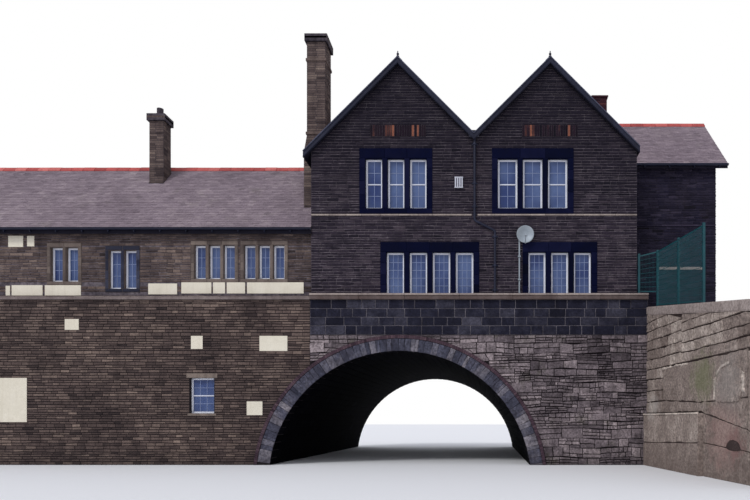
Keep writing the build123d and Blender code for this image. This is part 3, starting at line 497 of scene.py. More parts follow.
def course_quads(rings, height, length, rng, spread=0.25, wobble=0.0):
    """Corners of all the stones of a coursed wall."""
    lines, keys = course_lines(rings, height, rng, spread)
    quads = []
    for low, high in zip(lines, lines[1:]):
        for a, b, c, d in bays(rings, low, high):
            left, right = (a + d) / 2, (b + c) / 2
            if right - left < 0.03:
                continue
            count = max(1, round((right - left) / length))
            cuts = uneven(left, right, count, rng, 0.35)
            lower = np.concatenate(([a], cuts[1:-1], [b]))
            upper = np.concatenate(([d], cuts[1:-1], [c]))
            for i in range(count):
                quads.append(((lower[i], low), (lower[i + 1], low), (upper[i + 1], high), (upper[i], high)))
    quads = np.array(quads)
    if wobble:
        loose = np.min(np.abs(quads[..., 1:] - np.array(keys)), axis=2) > 1e-3
        u, v = quads[..., 0], quads[..., 1]
        quads[..., 1] = v + loose * wobble * (np.sin(u * 3.1 + v * 37) + 0.7 * np.sin(u * 8.3 + v * 91)) / 1.7
    return quads


def split(cell, low, high, columns):
    """A band of one cell, between two shares of its height, cut into columns."""
    a, b, c, d = cell
    cells = []
    for left, right in zip(columns, columns[1:]):
        corners = ((left, low), (right, low), (right, high), (left, high))
        cells.append([(a * (1 - s) + b * s) * (1 - t) + (d * (1 - s) + c * s) * t for s, t in corners])
    return cells


def broken(cells, rng):
    """Corners of rubble, from deep courses whose cells come to hold one stone or a few thin ones."""
    quads = []
    for cell in cells:
        draw = rng.random()
        if draw < 0.3:
            quads += split(cell, 0, 1, partition(rng.integers(1, 3), rng, 0.3))
            continue
        rows = partition(2 if draw < 0.72 else 3, rng, 0.35)
        for low, high in zip(rows, rows[1:]):
            quads += split(cell, low, high, partition(rng.integers(1, 4), rng, 0.4))
    return np.array(quads)


def jointed(quads, joint, bed=None):
    """Draws the corners in by half a joint, and leaves out what is then too small."""
    half, flat = joint / 2, (bed or joint) / 2
    quads = quads + np.array([[half, flat], [-half, flat], [-half, -flat], [half, -flat]])
    wide = (quads[:, 1, 0] - quads[:, 0, 0] + quads[:, 2, 0] - quads[:, 3, 0]) / 2 > 0.035
    low = (quads[:, 3, 1] - quads[:, 0, 1] + quads[:, 2, 1] - quads[:, 1, 1]) / 2 > 0.02
    return quads[wide & low]


def lay_rough(heap, blocks, surface, quads, rng, least, more, spread, drift):
    """Stones that stand out by a least depth and a share more. Their tones spread, and drift over the wall."""
    proud = least + more * rng.random(len(quads))
    u, v = quads[:, :, 0].mean(1), quads[:, :, 1].mean(1)
    slow = np.sin(u * 0.9 + 1.7) * np.sin(v * 1.1 + 0.4) + 0.5 * np.sin(u * 2.3 + v * 1.9)
    tones = np.clip(0.5 + rng.normal(0, spread, len(quads)) + drift * slow / 2, 0, 1)
    lay(heap, blocks, surface, quads, proud, tones, rng)


# Kinds of masonry: how uneven its courses and how wavy its beds are, its upright and bed joints, the least that its
# stones stand out and how much more they may, and how far their tones spread and drift
Masonry = namedtuple("Masonry", "uneven wavy joint bed least more spread drift")
THIN_STONES = Masonry(0.28, 0.012, 0.012, 0.026, 0.0084, 0.0112, 0.15, 0.2)
SQUARED_BLOCKS = Masonry(0.08, 0.006, 0.02, 0.02, 0.01, 0.008, 0.1, 0.2)
WING_WALL_BLOCKS = Masonry(0.1, 0.02, 0.025, 0.035, 0.02, 0.03, 0.1, 0.25)
RUBBLE_COURSE = 0.28
RUBBLE = Masonry(0.3, RUBBLE_COURSE * 0.16, 0.022, 0.026, 0.02, 0.03, 0.13, 0.3)


def coursed(heap, blocks, surface, rings, kind, height, length, rng):
    """A wall in courses of one kind of masonry."""
    quads = course_quads(rings, height, length, rng, kind.uneven, kind.wavy)
    if kind is RUBBLE:
        quads = broken(quads, rng)
    quads = jointed(quads, kind.joint, kind.bed)
    lay_rough(heap, blocks, surface, quads, rng, kind.least, kind.more, kind.spread, kind.drift)


def walled(heap, blocks, surface, rings, sizes, rng):
    """A wall of thin coursed stones."""
    coursed(heap, blocks, surface, rings, THIN_STONES, sizes.course, sizes.stone, rng)


def bricked(heap, blocks, sides, rng, height=0.085, length=0.28, joint=0.012):
    """Courses of squared stones or bricks on the sides of a stack, each given as a face and its outline."""
    for surface, outline in sides:
        quads = jointed(course_quads([outline], height, length, rng, 0.04), joint)
        lay(heap, blocks, surface, quads, 0.008, some_tones(rng, len(quads), 0.45, 0.2), rng)


def stretched(block, size):
    """Points of a block at a given size, with its bevels kept."""
    half = np.array(size, float) / 2
    return np.sign(block.points) * (half - (0.5 - np.abs(block.points)))


def set_copy(heap, block, points, centre, tone, turn=None):
    if turn is not None:
        points = points @ np.array(turn).T
    heap.add(block, (points + np.array(centre) + ORIGIN)[None], [tone])


def set_bar(heap, block, centre, size, tone=0.5, turn=None):
    set_copy(heap, block, stretched(block, size), centre, tone, turn)


def set_round(heap, block, centre, size, tone=0.5, turn=None):
    set_copy(heap, block, block.points * np.array(size), centre, tone, turn)


# Finishes

def rgb(code):
    """A display colour in hexadecimal as the linear colour that shaders take."""
    out = []
    for value in bytes.fromhex(code):
        c = value / 255
        out.append(c / 12.92 if c <= 0.04045 else ((c + 0.055) / 1.055) ** 2.4)
    return (*out, 1.0)


class Nodes:
    """Adds nodes to one tree. An input takes a value or the output of another node."""

    def __init__(self, tree):
        self.tree = tree

    def plug(self, target, value):
        if isinstance(value, bpy.types.NodeSocket):
            self.tree.links.new(value, target)
        else:
            target.default_value = value

    def add(self, kind, inputs=(), **settings):
        made = self.tree.nodes.new(kind)
        for key, value in settings.items():
            setattr(made, key, value)
        for key, value in dict(inputs).items():
            self.plug(made.inputs[key], value)
        return made

    def place(self):
        return self.add("ShaderNodeTexCoord").outputs["Object"]

    def noise(self, vector, scale, detail=4.0, roughness=0.55):
        values = {"Vector": vector, "Scale": scale, "Detail": detail, "Roughness": roughness}
        return self.add("ShaderNodeTexNoise", values).outputs[0]

    def ranged(self, value, low, high, start=0.0, end=1.0):
        values = {"Value": value, "From Min": low, "From Max": high, "To Min": start, "To Max": end}
        return self.add("ShaderNodeMapRange", values).outputs[0]

    def maths(self, operation, a, b, clamp=False):
        return self.add("ShaderNodeMath", {0: a, 1: b}, operation=operation, use_clamp=clamp).outputs[0]

    def plus(self, a, b):
        return self.maths("ADD", a, b)

    def times(self, a, b, clamp=False):
        return self.maths("MULTIPLY", a, b, clamp)

    def about_half(self, value, share):
        """How far a value stands above a half, times a share."""
        return self.times(self.maths("SUBTRACT", value, 0.5), share)

    def mixed(self, factor, a, b):
        return self.add("ShaderNodeMix", {0: factor, 6: a, 7: b}, data_type="RGBA").outputs[2]


# What the weather group takes, with its usual values
SURFACE = {
    "Dark": rgb("000000"), "Middle": rgb("808080"), "Light": rgb("ffffff"), "Dirt colour": rgb("221c1e"),
    "Moss colour": rgb("5c6434"), "Tone": 0.5, "Grain": 0.3, "Grain scale": 28.0, "Dirt": 0.3, "Dirt scale": 0.9,
    "Streaks": 0.2, "Moss": 0.0, "Foot": 0.0, "Soot": 0.0, "Rough": 0.85,
}


def weather_group():
    """Colour from the tone of each stone, with grain, dirt, run-off streaks, soot, a damp foot and moss."""
    tree = bpy.data.node_groups.new("Weathered surface", "ShaderNodeTree")
    for name, usual in SURFACE.items():
        kind = "NodeSocketColor" if isinstance(usual, tuple) else "NodeSocketFloat"
        tree.interface.new_socket(name=name, in_out="INPUT", socket_type=kind)
    for name, kind in (("Color", "NodeSocketColor"), ("Roughness", "NodeSocketFloat"), ("Height", "NodeSocketFloat")):
        tree.interface.new_socket(name=name, in_out="OUTPUT", socket_type=kind)
    nodes = Nodes(tree)
    given = nodes.add("NodeGroupInput").outputs
    place = nodes.place()
    grain = nodes.noise(place, given["Grain scale"], 5.0, 0.65)
    soft = nodes.noise(place, 2.7, 3.0)
    tone = nodes.plus(given["Tone"], nodes.about_half(soft, 0.5))
    lower = nodes.times(tone, 2.0, clamp=True)
    upper = nodes.maths("SUBTRACT", nodes.times(tone, 2.0), 1.0, clamp=True)
    colour = nodes.mixed(upper, nodes.mixed(lower, given["Dark"], given["Middle"]), given["Light"])
    shade = nodes.plus(nodes.times(nodes.about_half(grain, given["Grain"]), 3.0), 1.0)
    colour = nodes.add("ShaderNodeHueSaturation", {"Value": shade, "Color": colour}).outputs[0]
    height = nodes.add("ShaderNodeSeparateXYZ", {0: place}).outputs["Z"]
    tall = nodes.add("ShaderNodeMapping", {"Vector": place, "Scale": (5.0, 5.0, 0.35)}).outputs[0]
    layers = (
        (nodes.ranged(nodes.noise(place, given["Dirt scale"], 6.0, 0.6), 0.45, 0.68), "Dirt", "Dirt colour"),
        (nodes.ranged(nodes.noise(tall, 1.6, 4.0), 0.5, 0.75), "Streaks", "Dirt colour"),
        (nodes.ranged(nodes.plus(height, nodes.times(soft, 2.5)), 9.0, 13.0), "Soot", "Dirt colour"),
        (nodes.ranged(nodes.plus(height, nodes.times(soft, 0.9)), 0.4, 1.3, 1.0, 0.0), "Foot", "Dirt colour"),
        (nodes.ranged(nodes.noise(place, 1.1, 8.0, 0.7), 0.56, 0.66), "Moss", "Moss colour"),
    )
    for mask, amount, stain in layers:
        colour = nodes.mixed(nodes.times(mask, given[amount]), colour, given[stain])
    rough = nodes.plus(given["Rough"], nodes.about_half(grain, 0.4))
    relief = nodes.plus(grain, nodes.times(soft, 0.5))
    nodes.add("NodeGroupOutput", {"Color": colour, "Roughness": rough, "Height": relief})


def new_material(name):
    """A material, with the helper that adds its nodes and the inputs of its shader."""
    made = bpy.data.materials.new(name)
    made.use_nodes = True
    return Nodes(made.node_tree), made.node_tree.nodes["Principled BSDF"].inputs


def finish(colours, name, dark, middle, light, toned=True, bump=0.008, metal=0.0, specular=0.12, **amounts):
    """A weathered material. Its middle colour is its own or the name of one that a user may change."""
    nodes, shader = new_material(name)
    shader["Metallic"].default_value = metal
    shader["Specular IOR Level"].default_value = specular
    chosen = getattr(colours, middle, None)
    values = dict(SURFACE, Dark=rgb(dark), Light=rgb(light))
    values["Middle"] = rgb(middle) if chosen is None else (*chosen, 1.0)
    for key, value in amounts.items():
        values[key.replace("_", " ").capitalize()] = rgb(value) if isinstance(value, str) else value
    group = nodes.add("ShaderNodeGroup", values, node_tree=bpy.data.node_groups["Weathered surface"])
    if toned:
        nodes.plug(group.inputs["Tone"], nodes.add("ShaderNodeAttribute", attribute_name="tone").outputs["Fac"])
    nodes.plug(shader["Base Color"], group.outputs["Color"])
    nodes.plug(shader["Roughness"], group.outputs["Roughness"])
    relief = nodes.add("ShaderNodeBump", {"Height": group.outputs["Height"], "Distance": bump})
    nodes.plug(shader["Normal"], relief.outputs["Normal"])


def weathered_colour(name):
    """The nodes of a material, the colour that its weather group gives and the input that takes it."""
    tree = bpy.data.materials[name].node_tree
    group = next(n for n in tree.nodes if n.bl_idname == "ShaderNodeGroup")
    return Nodes(tree), group.outputs["Color"], tree.nodes["Principled BSDF"].inputs["Base Color"]


# Ragged stains on the wing wall: middle, as drawn, reach, share and colour
STAINS = (
    ((8.97, -4.4, 2.75), 0.8, 0.55, "747a56"), ((9.1, -5.6, 1.15), 1.0, 0.45, "a2827c"),
    ((9.2, -6.3, 0.95), 0.5, 0.5, "7c5856"), ((9.1, -5.9, 2.5), 0.8, 0.5, "8c8682"),
    ((8.6, -0.7, 1.95), 0.5, 0.5, "ccc4bc"),
)


def stain_wing_wall():
    nodes, colour, target = weathered_colour("Wall render")
    here = nodes.place()
    ragged = nodes.noise(here, 4.0, 7.0, 0.7)
    for middle, reach, share, stain in STAINS:
        ends = {0: here, 1: tuple(np.array(middle) + ORIGIN)}
        gone = nodes.add("ShaderNodeVectorMath", ends, operation="DISTANCE").outputs["Value"]
        gone = nodes.plus(gone, nodes.about_half(ragged, 2.4 * reach))
        colour = nodes.mixed(nodes.ranged(gone, 0.4 * reach, 1.1 * reach, share, 0.0), colour, rgb(stain))
    nodes.plug(target, colour)


def split_mortar():
    """The portal's mortar: pale in the squared courses and dark in the rubble below them."""
    nodes, colour, target = weathered_colour("Pale mortar")
    place = nodes.add("ShaderNodeSeparateXYZ", {0: nodes.place()}).outputs
    low = nodes.maths("LESS_THAN", place["Z"], COURSES_FOOT)
    left = nodes.maths("LESS_THAN", place["X"], BLOCK_LEFT + ORIGIN[0])
    nodes.plug(target, nodes.mixed(nodes.maths("MAXIMUM", low, left), colour, rgb("201b1e")))


def glass_finish():
    """Window glass with a painted reflection of a cloudy sky in mottled blues, and a slight waviness."""
    nodes, shader = new_material("Window glass")
    place = nodes.place()
    # The mottled blues are a painted reflection of the sky.
    painted_sky = nodes.ranged(nodes.noise(place, 0.8, 3.0), 0.35, 0.65)
    nodes.plug(shader["Base Color"], nodes.mixed(painted_sky, rgb("2a3e76"), rgb("5c709e")))
    ripple = nodes.add("ShaderNodeBump", {"Height": nodes.noise(place, 3.0, 2.0), "Distance": 0.004})
    nodes.plug(shader["Normal"], ripple.outputs["Normal"])
    for name, value in (("Roughness", 0.06), ("Transmission Weight", 0.25), ("IOR", 1.45)):
        shader[name].default_value = value


# Finishes: dark, middle and light colour, and what differs from the usual surface
FINISHES = (
    ("Block stone", "120f18", "block_stone", "50464e", dict(grain=0.6, dirt=0.35, streaks=0.2, soot=0.75,
        dirt_colour="14111c", bump=0.012)),
    ("Block mortar", "18141e", "60585e", "b0a6a6", dict(toned=False, grain=0.9, grain_scale=9.0, dirt=0.6,
        dirt_scale=2.2, soot=0.5, dirt_colour="181520")),
    ("Shaded stone", "0a0812", "1c192a", "3a3444", dict(grain=0.5, dirt=0.35, streaks=0.2, bump=0.012)),
    ("Shaded mortar", "100e18", "2c2836", "544e58", dict(toned=False, grain=0.9, grain_scale=9.0, dirt=0.5,
        dirt_scale=2.2)),
    ("Wing stone", "322a2a", "5c4e4a", "88766c", dict(grain=0.5, dirt=0.35, streaks=0.3, foot=0.5,
        bump=0.012)),
    ("Stack stone", "3c3232", "625450", "84746a", dict(grain=0.5, dirt=0.35, streaks=0.3, bump=0.012)),
    ("Rubble stone", "2e282e", "rubble_stone", "ac9ea0", dict(grain=0.95, grain_scale=16.0, dirt=0.5,
        dirt_scale=3.0, streaks=0.3, foot=0.5, moss=0.15, bump=0.03)),
    ("Rubble mortar", "141114", "221d20", "3c3436", dict(toned=False, grain=0.8)),
    ("Coursed stone", "0c0c18", "222230", "565460", dict(grain=0.9, grain_scale=16.0, dirt=0.45,
        dirt_scale=2.4, streaks=0.35, dirt_colour="12101a", bump=0.02)),
    ("Pale mortar", "403e46", "807a80", "b0a8a8", dict(toned=False, grain=0.6, dirt=0.5)),
    ("Ring stone", "222432", "ring_stone", "9e969a", dict(grain=0.95, grain_scale=14.0, dirt=0.5,
        dirt_scale=2.4, streaks=0.35, foot=0.5, dirt_colour="2e2a32", bump=0.03)),
    # The vault's stone is sooty, and its near-black colours are also painted shade deep inside the tunnel.
    ("Sooty stone", "020205", "05050a", "0c0c12", dict(grain=0.5, dirt=0.4, foot=0.3, dirt_colour="030306",
        specular=0.01)),
    ("Hood brick", "30242c", "4c3b44", "645056", dict(grain=0.5)),
    ("Dressed stone", "030514", "surround", "181a36", dict(grain=0.35, dirt=0.2, streaks=0.15,
        dirt_colour="0c0c18", specular=0.06, bump=0.006)),
    ("Pale dressed stone", "4a403e", "6e625c", "8e8076", dict(grain=0.35, dirt=0.3, streaks=0.3,
        bump=0.008)),
    ("Ledge stone", "544642", "7a6e6c", "ac9e96", dict(grain=0.4, dirt=0.35, streaks=0.4,
        dirt_colour="3e3436", bump=0.01)),
    ("Wall render", "6a5c56", "988a82", "d8cabe", dict(grain=0.95, grain_scale=14.0, dirt=0.5,
        dirt_scale=1.6, dirt_colour="625550", streaks=0.35, foot=0.5, bump=0.04)),
    ("Wall joint", "2a2222", "443937", "645854", dict(toned=False, grain=0.8, dirt=0.3)),
    ("Coping concrete", "7a6e6a", "9a8d88", "b2a6a0", dict(grain=0.7, grain_scale=14.0, dirt=0.4,
        dirt_scale=1.6, streaks=0.35, dirt_colour="665a56", bump=0.016)),
    ("Roof tile", "685c64", "roof_tile", "a6989c", dict(grain=0.4, dirt=0.3, streaks=0.15, moss=0.1,
        dirt_colour="5c5056", bump=0.006)),
    # The soffit's near-black colours are painted shade under the eaves and verges.
    ("Soffit board", "100f18", "1c1b26", "2c2a36", dict(toned=False, grain=0.4, specular=0.1)),
    ("Ridge tile", "964240", "ridge_tile", "d47a74", dict(grain=0.35, dirt=0.25, dirt_colour="603434")),
    ("Slate", "282834", "3e3e4e", "5c5c6c", dict(grain=0.3, rough=0.6)),
    ("Dark brick", "20101a", "3e2028", "603836", dict(grain=0.5, dirt=0.4)),
    ("Soldier brick", "0c0814", "241722", "885442", dict(grain=0.5, dirt=0.35)),
    ("Deck surface", "403c3e", "5c5758", "7a7472", dict(toned=False, grain=0.8, dirt=0.5)),
    ("Lead", "1c1c26", "2e2f3a", "464854", dict(toned=False, rough=0.6, metal=0.2)),
    ("Barge paint", "161826", "282a3a", "4e5062", dict(grain=0.3, dirt=0.3, rough=0.6, grain_scale=14.0,
        bump=0.004)),
    ("White paint", "c4c6d4", "e0e2ec", "f0f0f6", dict(grain=0.08, dirt=0.12, streaks=0.1,
        dirt_colour="8c888c", rough=0.45, bump=0.002)),
    # The glazing bars are white, and their bluish grey is painted shade.
    ("Bar paint", "6e7a9e", "8c98ba", "b0bad2", dict(grain=0.1, dirt=0.1, rough=0.5, bump=0.002)),
    ("Iron paint", "0c0e1e", "16192e", "2e324a", dict(grain=0.3, dirt=0.2, rough=0.5, dirt_colour="141422",
        specular=0.3, bump=0.003)),
    ("Floor boards", "604c3a", "7c644c", "947a60", dict(toned=False, grain=0.5, grain_scale=6.0)),
    ("Pale board", "ccc4b0", "e4dcca", "f0eadc", dict(grain=0.1, dirt=0.15, streaks=0.2,
        dirt_colour="baae9a", rough=0.6, bump=0.004)),
    ("Grey metal", "7e8690", "98a0a8", "b6bcc2", dict(grain=0.15, dirt=0.35, dirt_colour="6c7070",
        rough=0.45, metal=0.2, bump=0.003)),
    ("Vent plastic", "2c2c3c", "9698a6", "d6d6e0", dict(grain=0.1, dirt=0.15, dirt_colour="8c8888",
        rough=0.5, bump=0.002)),
    ("Fence paint", "042c34", "fence", "1a6268", dict(grain=0.2, dirt=0.15, rough=0.45, specular=0.4,
        bump=0.002)),
)

# Finishes of the frame's own pieces
NODE_FINISHES = {
    "Block mortar": "block_front_wall block_rear_wall block_left_wall block_right_wall left_wing_upper_front_wall "
                    "left_wing_upper_rear_wall left_wing_end_gable tall_chimney left_wing_chimney "
                    "soldier_brick_panels end_chimney",
    "Shaded mortar": "right_wing_front_wall right_wing_rear_wall right_wing_end_wall",
    "Pale mortar": "portal_wall_front portal_wall_rear",
    "Deck surface": "bridge_deck",
    "Rubble mortar": "bridge_masonry_left bridge_masonry_right left_wing_lower_front_wall left_wing_lower_rear_wall "
                     "left_wing_lower_end_wall voussoir_ring_front voussoir_ring_rear brick_hoods",
    "Sooty stone": "vault",
    "Dressed stone": "upper_window_stone lower_window_stone rear_window_stone",
    "Pale dressed stone": "left_wing_window_stone",
    "Ledge stone": "ledge left_wing_ledge rear_parapet_coping",
    "Wall joint": "wing_wall wing_wall_plinth",
    "Coping concrete": "wing_wall_coping",
    "Soffit board": "gable_roof_left gable_roof_right main_roof left_wing_roof",
    "Lead": "valley_gutters",
    "Barge paint": "bargeboards",
    "Iron paint": "downpipe eaves_gutters",
    "Floor boards": "upper_floor left_wing_floors right_wing_floors",
    "Pale board": "wall_panels",
    "Grey metal": "aerial",
    "Window glass": "front_window_glass rear_window_glass",
    "Fence paint": "fence_posts",
}


def make_finishes(sizes, rng):
    weather_group()
    for name, dark, middle, light, settings in FINISHES:
        finish(bpy.context.scene.station_colours, name, dark, middle, light, **settings)
    stain_wing_wall()
    split_mortar()
    glass_finish()
    for name, members in NODE_FINISHES.items():
        # These pieces have no tones of their own, so they get copies that ask for none
        plain = bpy.data.materials[name].copy()
        for node in [n for n in plain.node_tree.nodes if n.bl_idname == "ShaderNodeAttribute"]:
            plain.node_tree.nodes.remove(node)
        for member in members.split():
            slots = NODES[member].data.materials
            slots.clear()
            slots.append(plain)


# Walls

def width_of(lights, mullion):
    return sum(lights) + (len(lights) - 1) * mullion


def light_spans(centre, lights, mullion):
    """Left and right of each light of a window."""
    left = centre - width_of(lights, mullion) / 2
    spans = []
    for width in lights:
        spans.append((left, left + width))
        left += width + mullion
    return spans


def window_holes(row):
    """Outlines of what the stones round a row of windows cover."""
    rings = []
    for centre, low, high, lights in row.windows:
        half = width_of(lights, row.mullion) / 2 + row.jamb
        rings.append(rectangle(centre - half, centre + half, low - row.sill, high + row.lintel))
    return rings


def arch_ring(radius):
    """The outline of the archway, with one flat for each stone of its ring."""
    angles = [math.pi * joint / ARCH_STONES for joint in range(ARCH_STONES + 1)]
    return [(radius * math.cos(angle), radius * math.sin(angle) - ARCH_DROP) for angle in angles]


def lay_block(sizes, rng):
    stones = wall_stones(3)
    apex = APEX - SOFFIT_DROP
    eave, valley = apex - (BLOCK_RIGHT - APEX_RIGHT), apex - (APEX_RIGHT - VALLEY_X - VALLEY_HALF)
    holes = window_holes(UPPER_ROW) + window_holes(LOWER_ROW)
    for x in (APEX_LEFT, APEX_RIGHT):
        holes.append(rectangle(x - PANEL_HALF, x + PANEL_HALF, PANEL_FOOT, PANEL_HEAD))

    def gables(foot):
        return [(BLOCK_LEFT, foot), (BLOCK_RIGHT, foot), (BLOCK_RIGHT, eave), (APEX_RIGHT, apex),
                (VALLEY_RIGHT, valley), (VALLEY_LEFT, valley), (APEX_LEFT, apex), (BLOCK_LEFT, eave)]

    heap = Heap("block_front_stones", "Block stone", "block_stone")
    walled(heap, stones, front_face(BLOCK_FRONT), [gables(LEDGE)] + holes, sizes, rng)
    heap = Heap("block_rear_stones", "Block stone", "block_stone")
    walled(heap, stones, rear_face(BLOCK_REAR), flipped([gables(DECK)] + holes), sizes, rng)
    heap = Heap("block_side_stones", "Block stone", "block_stone")
    for y0, y1, foot in ((BLOCK_FRONT, MAIN_FRONT, LEDGE), (MAIN_REAR, BLOCK_REAR, DECK)):
        walled(heap, stones, right_face(BLOCK_RIGHT), [rectangle(y0, y1, foot, eave)], sizes, rng)
    main_top = MAIN_RIDGE - SOFFIT_DROP
    reach = main_top - eave
    roof_line = WING_EAVE - WING_EAVES[0]
    outline = [
        (BLOCK_FRONT, LEDGE), (WING_FRONT, LEDGE), (WING_FRONT, roof_line + WING_FRONT), (WING_MID, WING_RIDGE),
        (WING_REAR, WING_RIDGE - (WING_REAR - WING_MID)), (WING_REAR, DECK), (BLOCK_REAR, DECK),
        (BLOCK_REAR, eave), (BLOCK_MID + reach, eave), (BLOCK_MID, main_top), (BLOCK_MID - reach, eave),
        (BLOCK_FRONT, eave),
    ]
    stack = rectangle(TALL_STACK[2], TALL_STACK[3], roof_line, eave + 0.2)
    walled(heap, stones, left_face(BLOCK_LEFT), flipped([outline, stack]), sizes, rng)


def lay_right_wing(sizes, rng):
    stones = [model_stone(0.006), model_stone(0.009)]
    eave = MAIN_RIDGE - SOFFIT_DROP - (BLOCK_MID - MAIN_FRONT)
    heap = Heap("right_wing_stones", "Shaded stone", "block_stone")
    outline = rectangle(BLOCK_RIGHT, WING_RIGHT, 0, eave)
    gable = [(MAIN_FRONT, 0), (MAIN_REAR, 0), (MAIN_REAR, eave), (BLOCK_MID, MAIN_RIDGE - SOFFIT_DROP),
             (MAIN_FRONT, eave)]
    walled(heap, stones, front_face(MAIN_FRONT), [outline], sizes, rng)
    walled(heap, stones, rear_face(MAIN_REAR), flipped([outline]), sizes, rng)
    walled(heap, stones, right_face(WING_RIGHT), [gable], sizes, rng)


def lay_left_wing(sizes, rng):
    stones = wall_stones(5)
    eave = WING_EAVE + 0.25 - WING_SOFFIT
    holes = window_holes(LEFT_ROW)
    upper, lower = ([rectangle(a + BOARD_CLEAR, b - BOARD_CLEAR, c + BOARD_CLEAR, d - BOARD_CLEAR)
                     for a, b, c, d in boards] for boards in (UPPER_BOARDS, LOWER_BOARDS))
    heap = Heap("left_wing_upper_stones", "Wing stone", "block_stone")
    front = [rectangle(WING_LEFT, BLOCK_LEFT, WING_LEDGE, eave)] + holes + upper
    walled(heap, stones, front_face(WING_FRONT), front, sizes, rng)
    rear = [rectangle(WING_LEFT, BLOCK_LEFT, DECK, eave)] + holes
    walled(heap, stones, rear_face(WING_REAR), flipped(rear), sizes, rng)
    gable = [(WING_FRONT, DECK), (WING_REAR, DECK), (WING_REAR, eave), (WING_MID, WING_RIDGE - WING_SOFFIT),
             (WING_FRONT, eave)]
    walled(heap, stones, left_face(WING_LEFT), flipped([gable]), sizes, rng)
    heap = Heap("left_wing_lower_stones", "Wing stone", "rubble_stone")
    centre, low, high, lights = BASEMENT_ROW.windows[0]
    hole = rectangle(centre - lights[0] / 2 - 0.02, centre + lights[0] / 2 + 0.02, low - 0.1, high + 0.18)
    arch = [(u, v) for u, v in arch_ring(ARCH_RADIUS + RING + HOOD) if u < BLOCK_LEFT + 0.3]
    arch.insert(0, (arch[0][0], -1.0))
    front = [rectangle(WING_LEFT, BLOCK_LEFT, 0, DECK), hole, arch] + lower
    walled(heap, stones, front_face(0), front, sizes, rng)
    rear = [rectangle(WING_LEFT, PORTAL_LEFT, 0, DECK)]
    walled(heap, stones, rear_face(WING_REAR), flipped(rear), sizes, rng)
    walled(heap, stones, left_face(WING_LEFT), flipped([rectangle(0, WING_REAR, 0, DECK)]), sizes, rng)


RUBBLE_LENGTH = 0.62
SQUARED_COURSE = 0.276
SQUARED_LENGTH = 0.55


def lay_portals(sizes, rng):
    rough, square = model_rubble(0.012, 0.013, range(1, 7)), model_rubble(0.006, 0.006, (7, 8))
    hole = arch_ring(ARCH_RADIUS + RING + HOOD)
    buttress, parapet = TUNNEL - PORTAL_THICK, TUNNEL - PARAPET_THICK
    heap = Heap("portal_rubble", "Rubble stone", "rubble_stone")
    for surface, rings in (
            (front_face(0), [rectangle(BLOCK_LEFT, PORTAL_RIGHT, 0, COURSES_FOOT), hole]),
            (rear_face(TUNNEL), flipped([rectangle(PORTAL_LEFT, PORTAL_RIGHT, 0, COURSES_FOOT), hole]))):
        coursed(heap, rough, surface, rings, RUBBLE, RUBBLE_COURSE, RUBBLE_LENGTH, rng)
    heap = Heap("portal_coursed_blocks", "Coursed stone", "rubble_stone")
    for surface, rings in (
            (front_face(0), [rectangle(BLOCK_LEFT, PORTAL_RIGHT, COURSES_FOOT, DECK)]),
            (rear_face(TUNNEL), flipped([rectangle(PORTAL_LEFT, PORTAL_RIGHT, COURSES_FOOT, PARAPET_TOP)])),
            (front_face(parapet), [rectangle(PORTAL_LEFT, PORTAL_RIGHT, DECK, PARAPET_TOP)])):
        coursed(heap, square, surface, rings, SQUARED_BLOCKS, SQUARED_COURSE, SQUARED_LENGTH, rng)
    heap = Heap("bridge_side_rubble", "Rubble stone", "rubble_stone")
    end = rectangle(parapet, TUNNEL, DECK, PARAPET_TOP)
    for surface, ring in (
            (left_face(PORTAL_LEFT), flipped([rectangle(WING_REAR, TUNNEL, 0, DECK)])[0]),
            (left_face(PORTAL_LEFT), flipped([end])[0]),
            (right_face(BLOCK_RIGHT), rectangle(MAIN_REAR, buttress, 0, DECK)),
            (right_face(PORTAL_RIGHT), rectangle(buttress, TUNNEL, 0, DECK)),
            (right_face(PORTAL_RIGHT), end),
            (front_face(buttress), rectangle(BLOCK_RIGHT, PORTAL_RIGHT, 0, DECK))):
        coursed(heap, rough, surface, [ring], RUBBLE, RUBBLE_COURSE, RUBBLE_LENGTH, rng)


def arc_quads(inner, outer, steps, joint):
    """Corners of the stones of an arch ring, seen from the front. Steps are shares of half a circle."""
    quads = []
    for low, high in zip(steps, steps[1:]):
        corners = []
        for radius, step in ((inner, low), (outer, low), (outer, high), (inner, high)):
            angle = math.pi * step
            corners.append((radius * math.cos(angle), max(radius * math.sin(angle) - ARCH_DROP, 0.0)))
        if min(corners[2][1], corners[3][1]) > 0.01:
            quads.append(corners)
    quads = np.array(quads)
    middle = quads.mean(axis=1, keepdims=True)
    return quads + (middle - quads) / np.linalg.norm(middle - quads, axis=2, keepdims=True) * joint / 1.4


# Stones of a ring, the level under which they grow paler, over what height and by how much
RING_STONES = ARCH_STONES * 3 // 2
PALE_BELOW = 3.2
PALE_OVER = 2.4
PALER = 0.16
RING_JOINT = 0.01
VAULT_ROWS = 26
VAULT_JOINT = 0.012


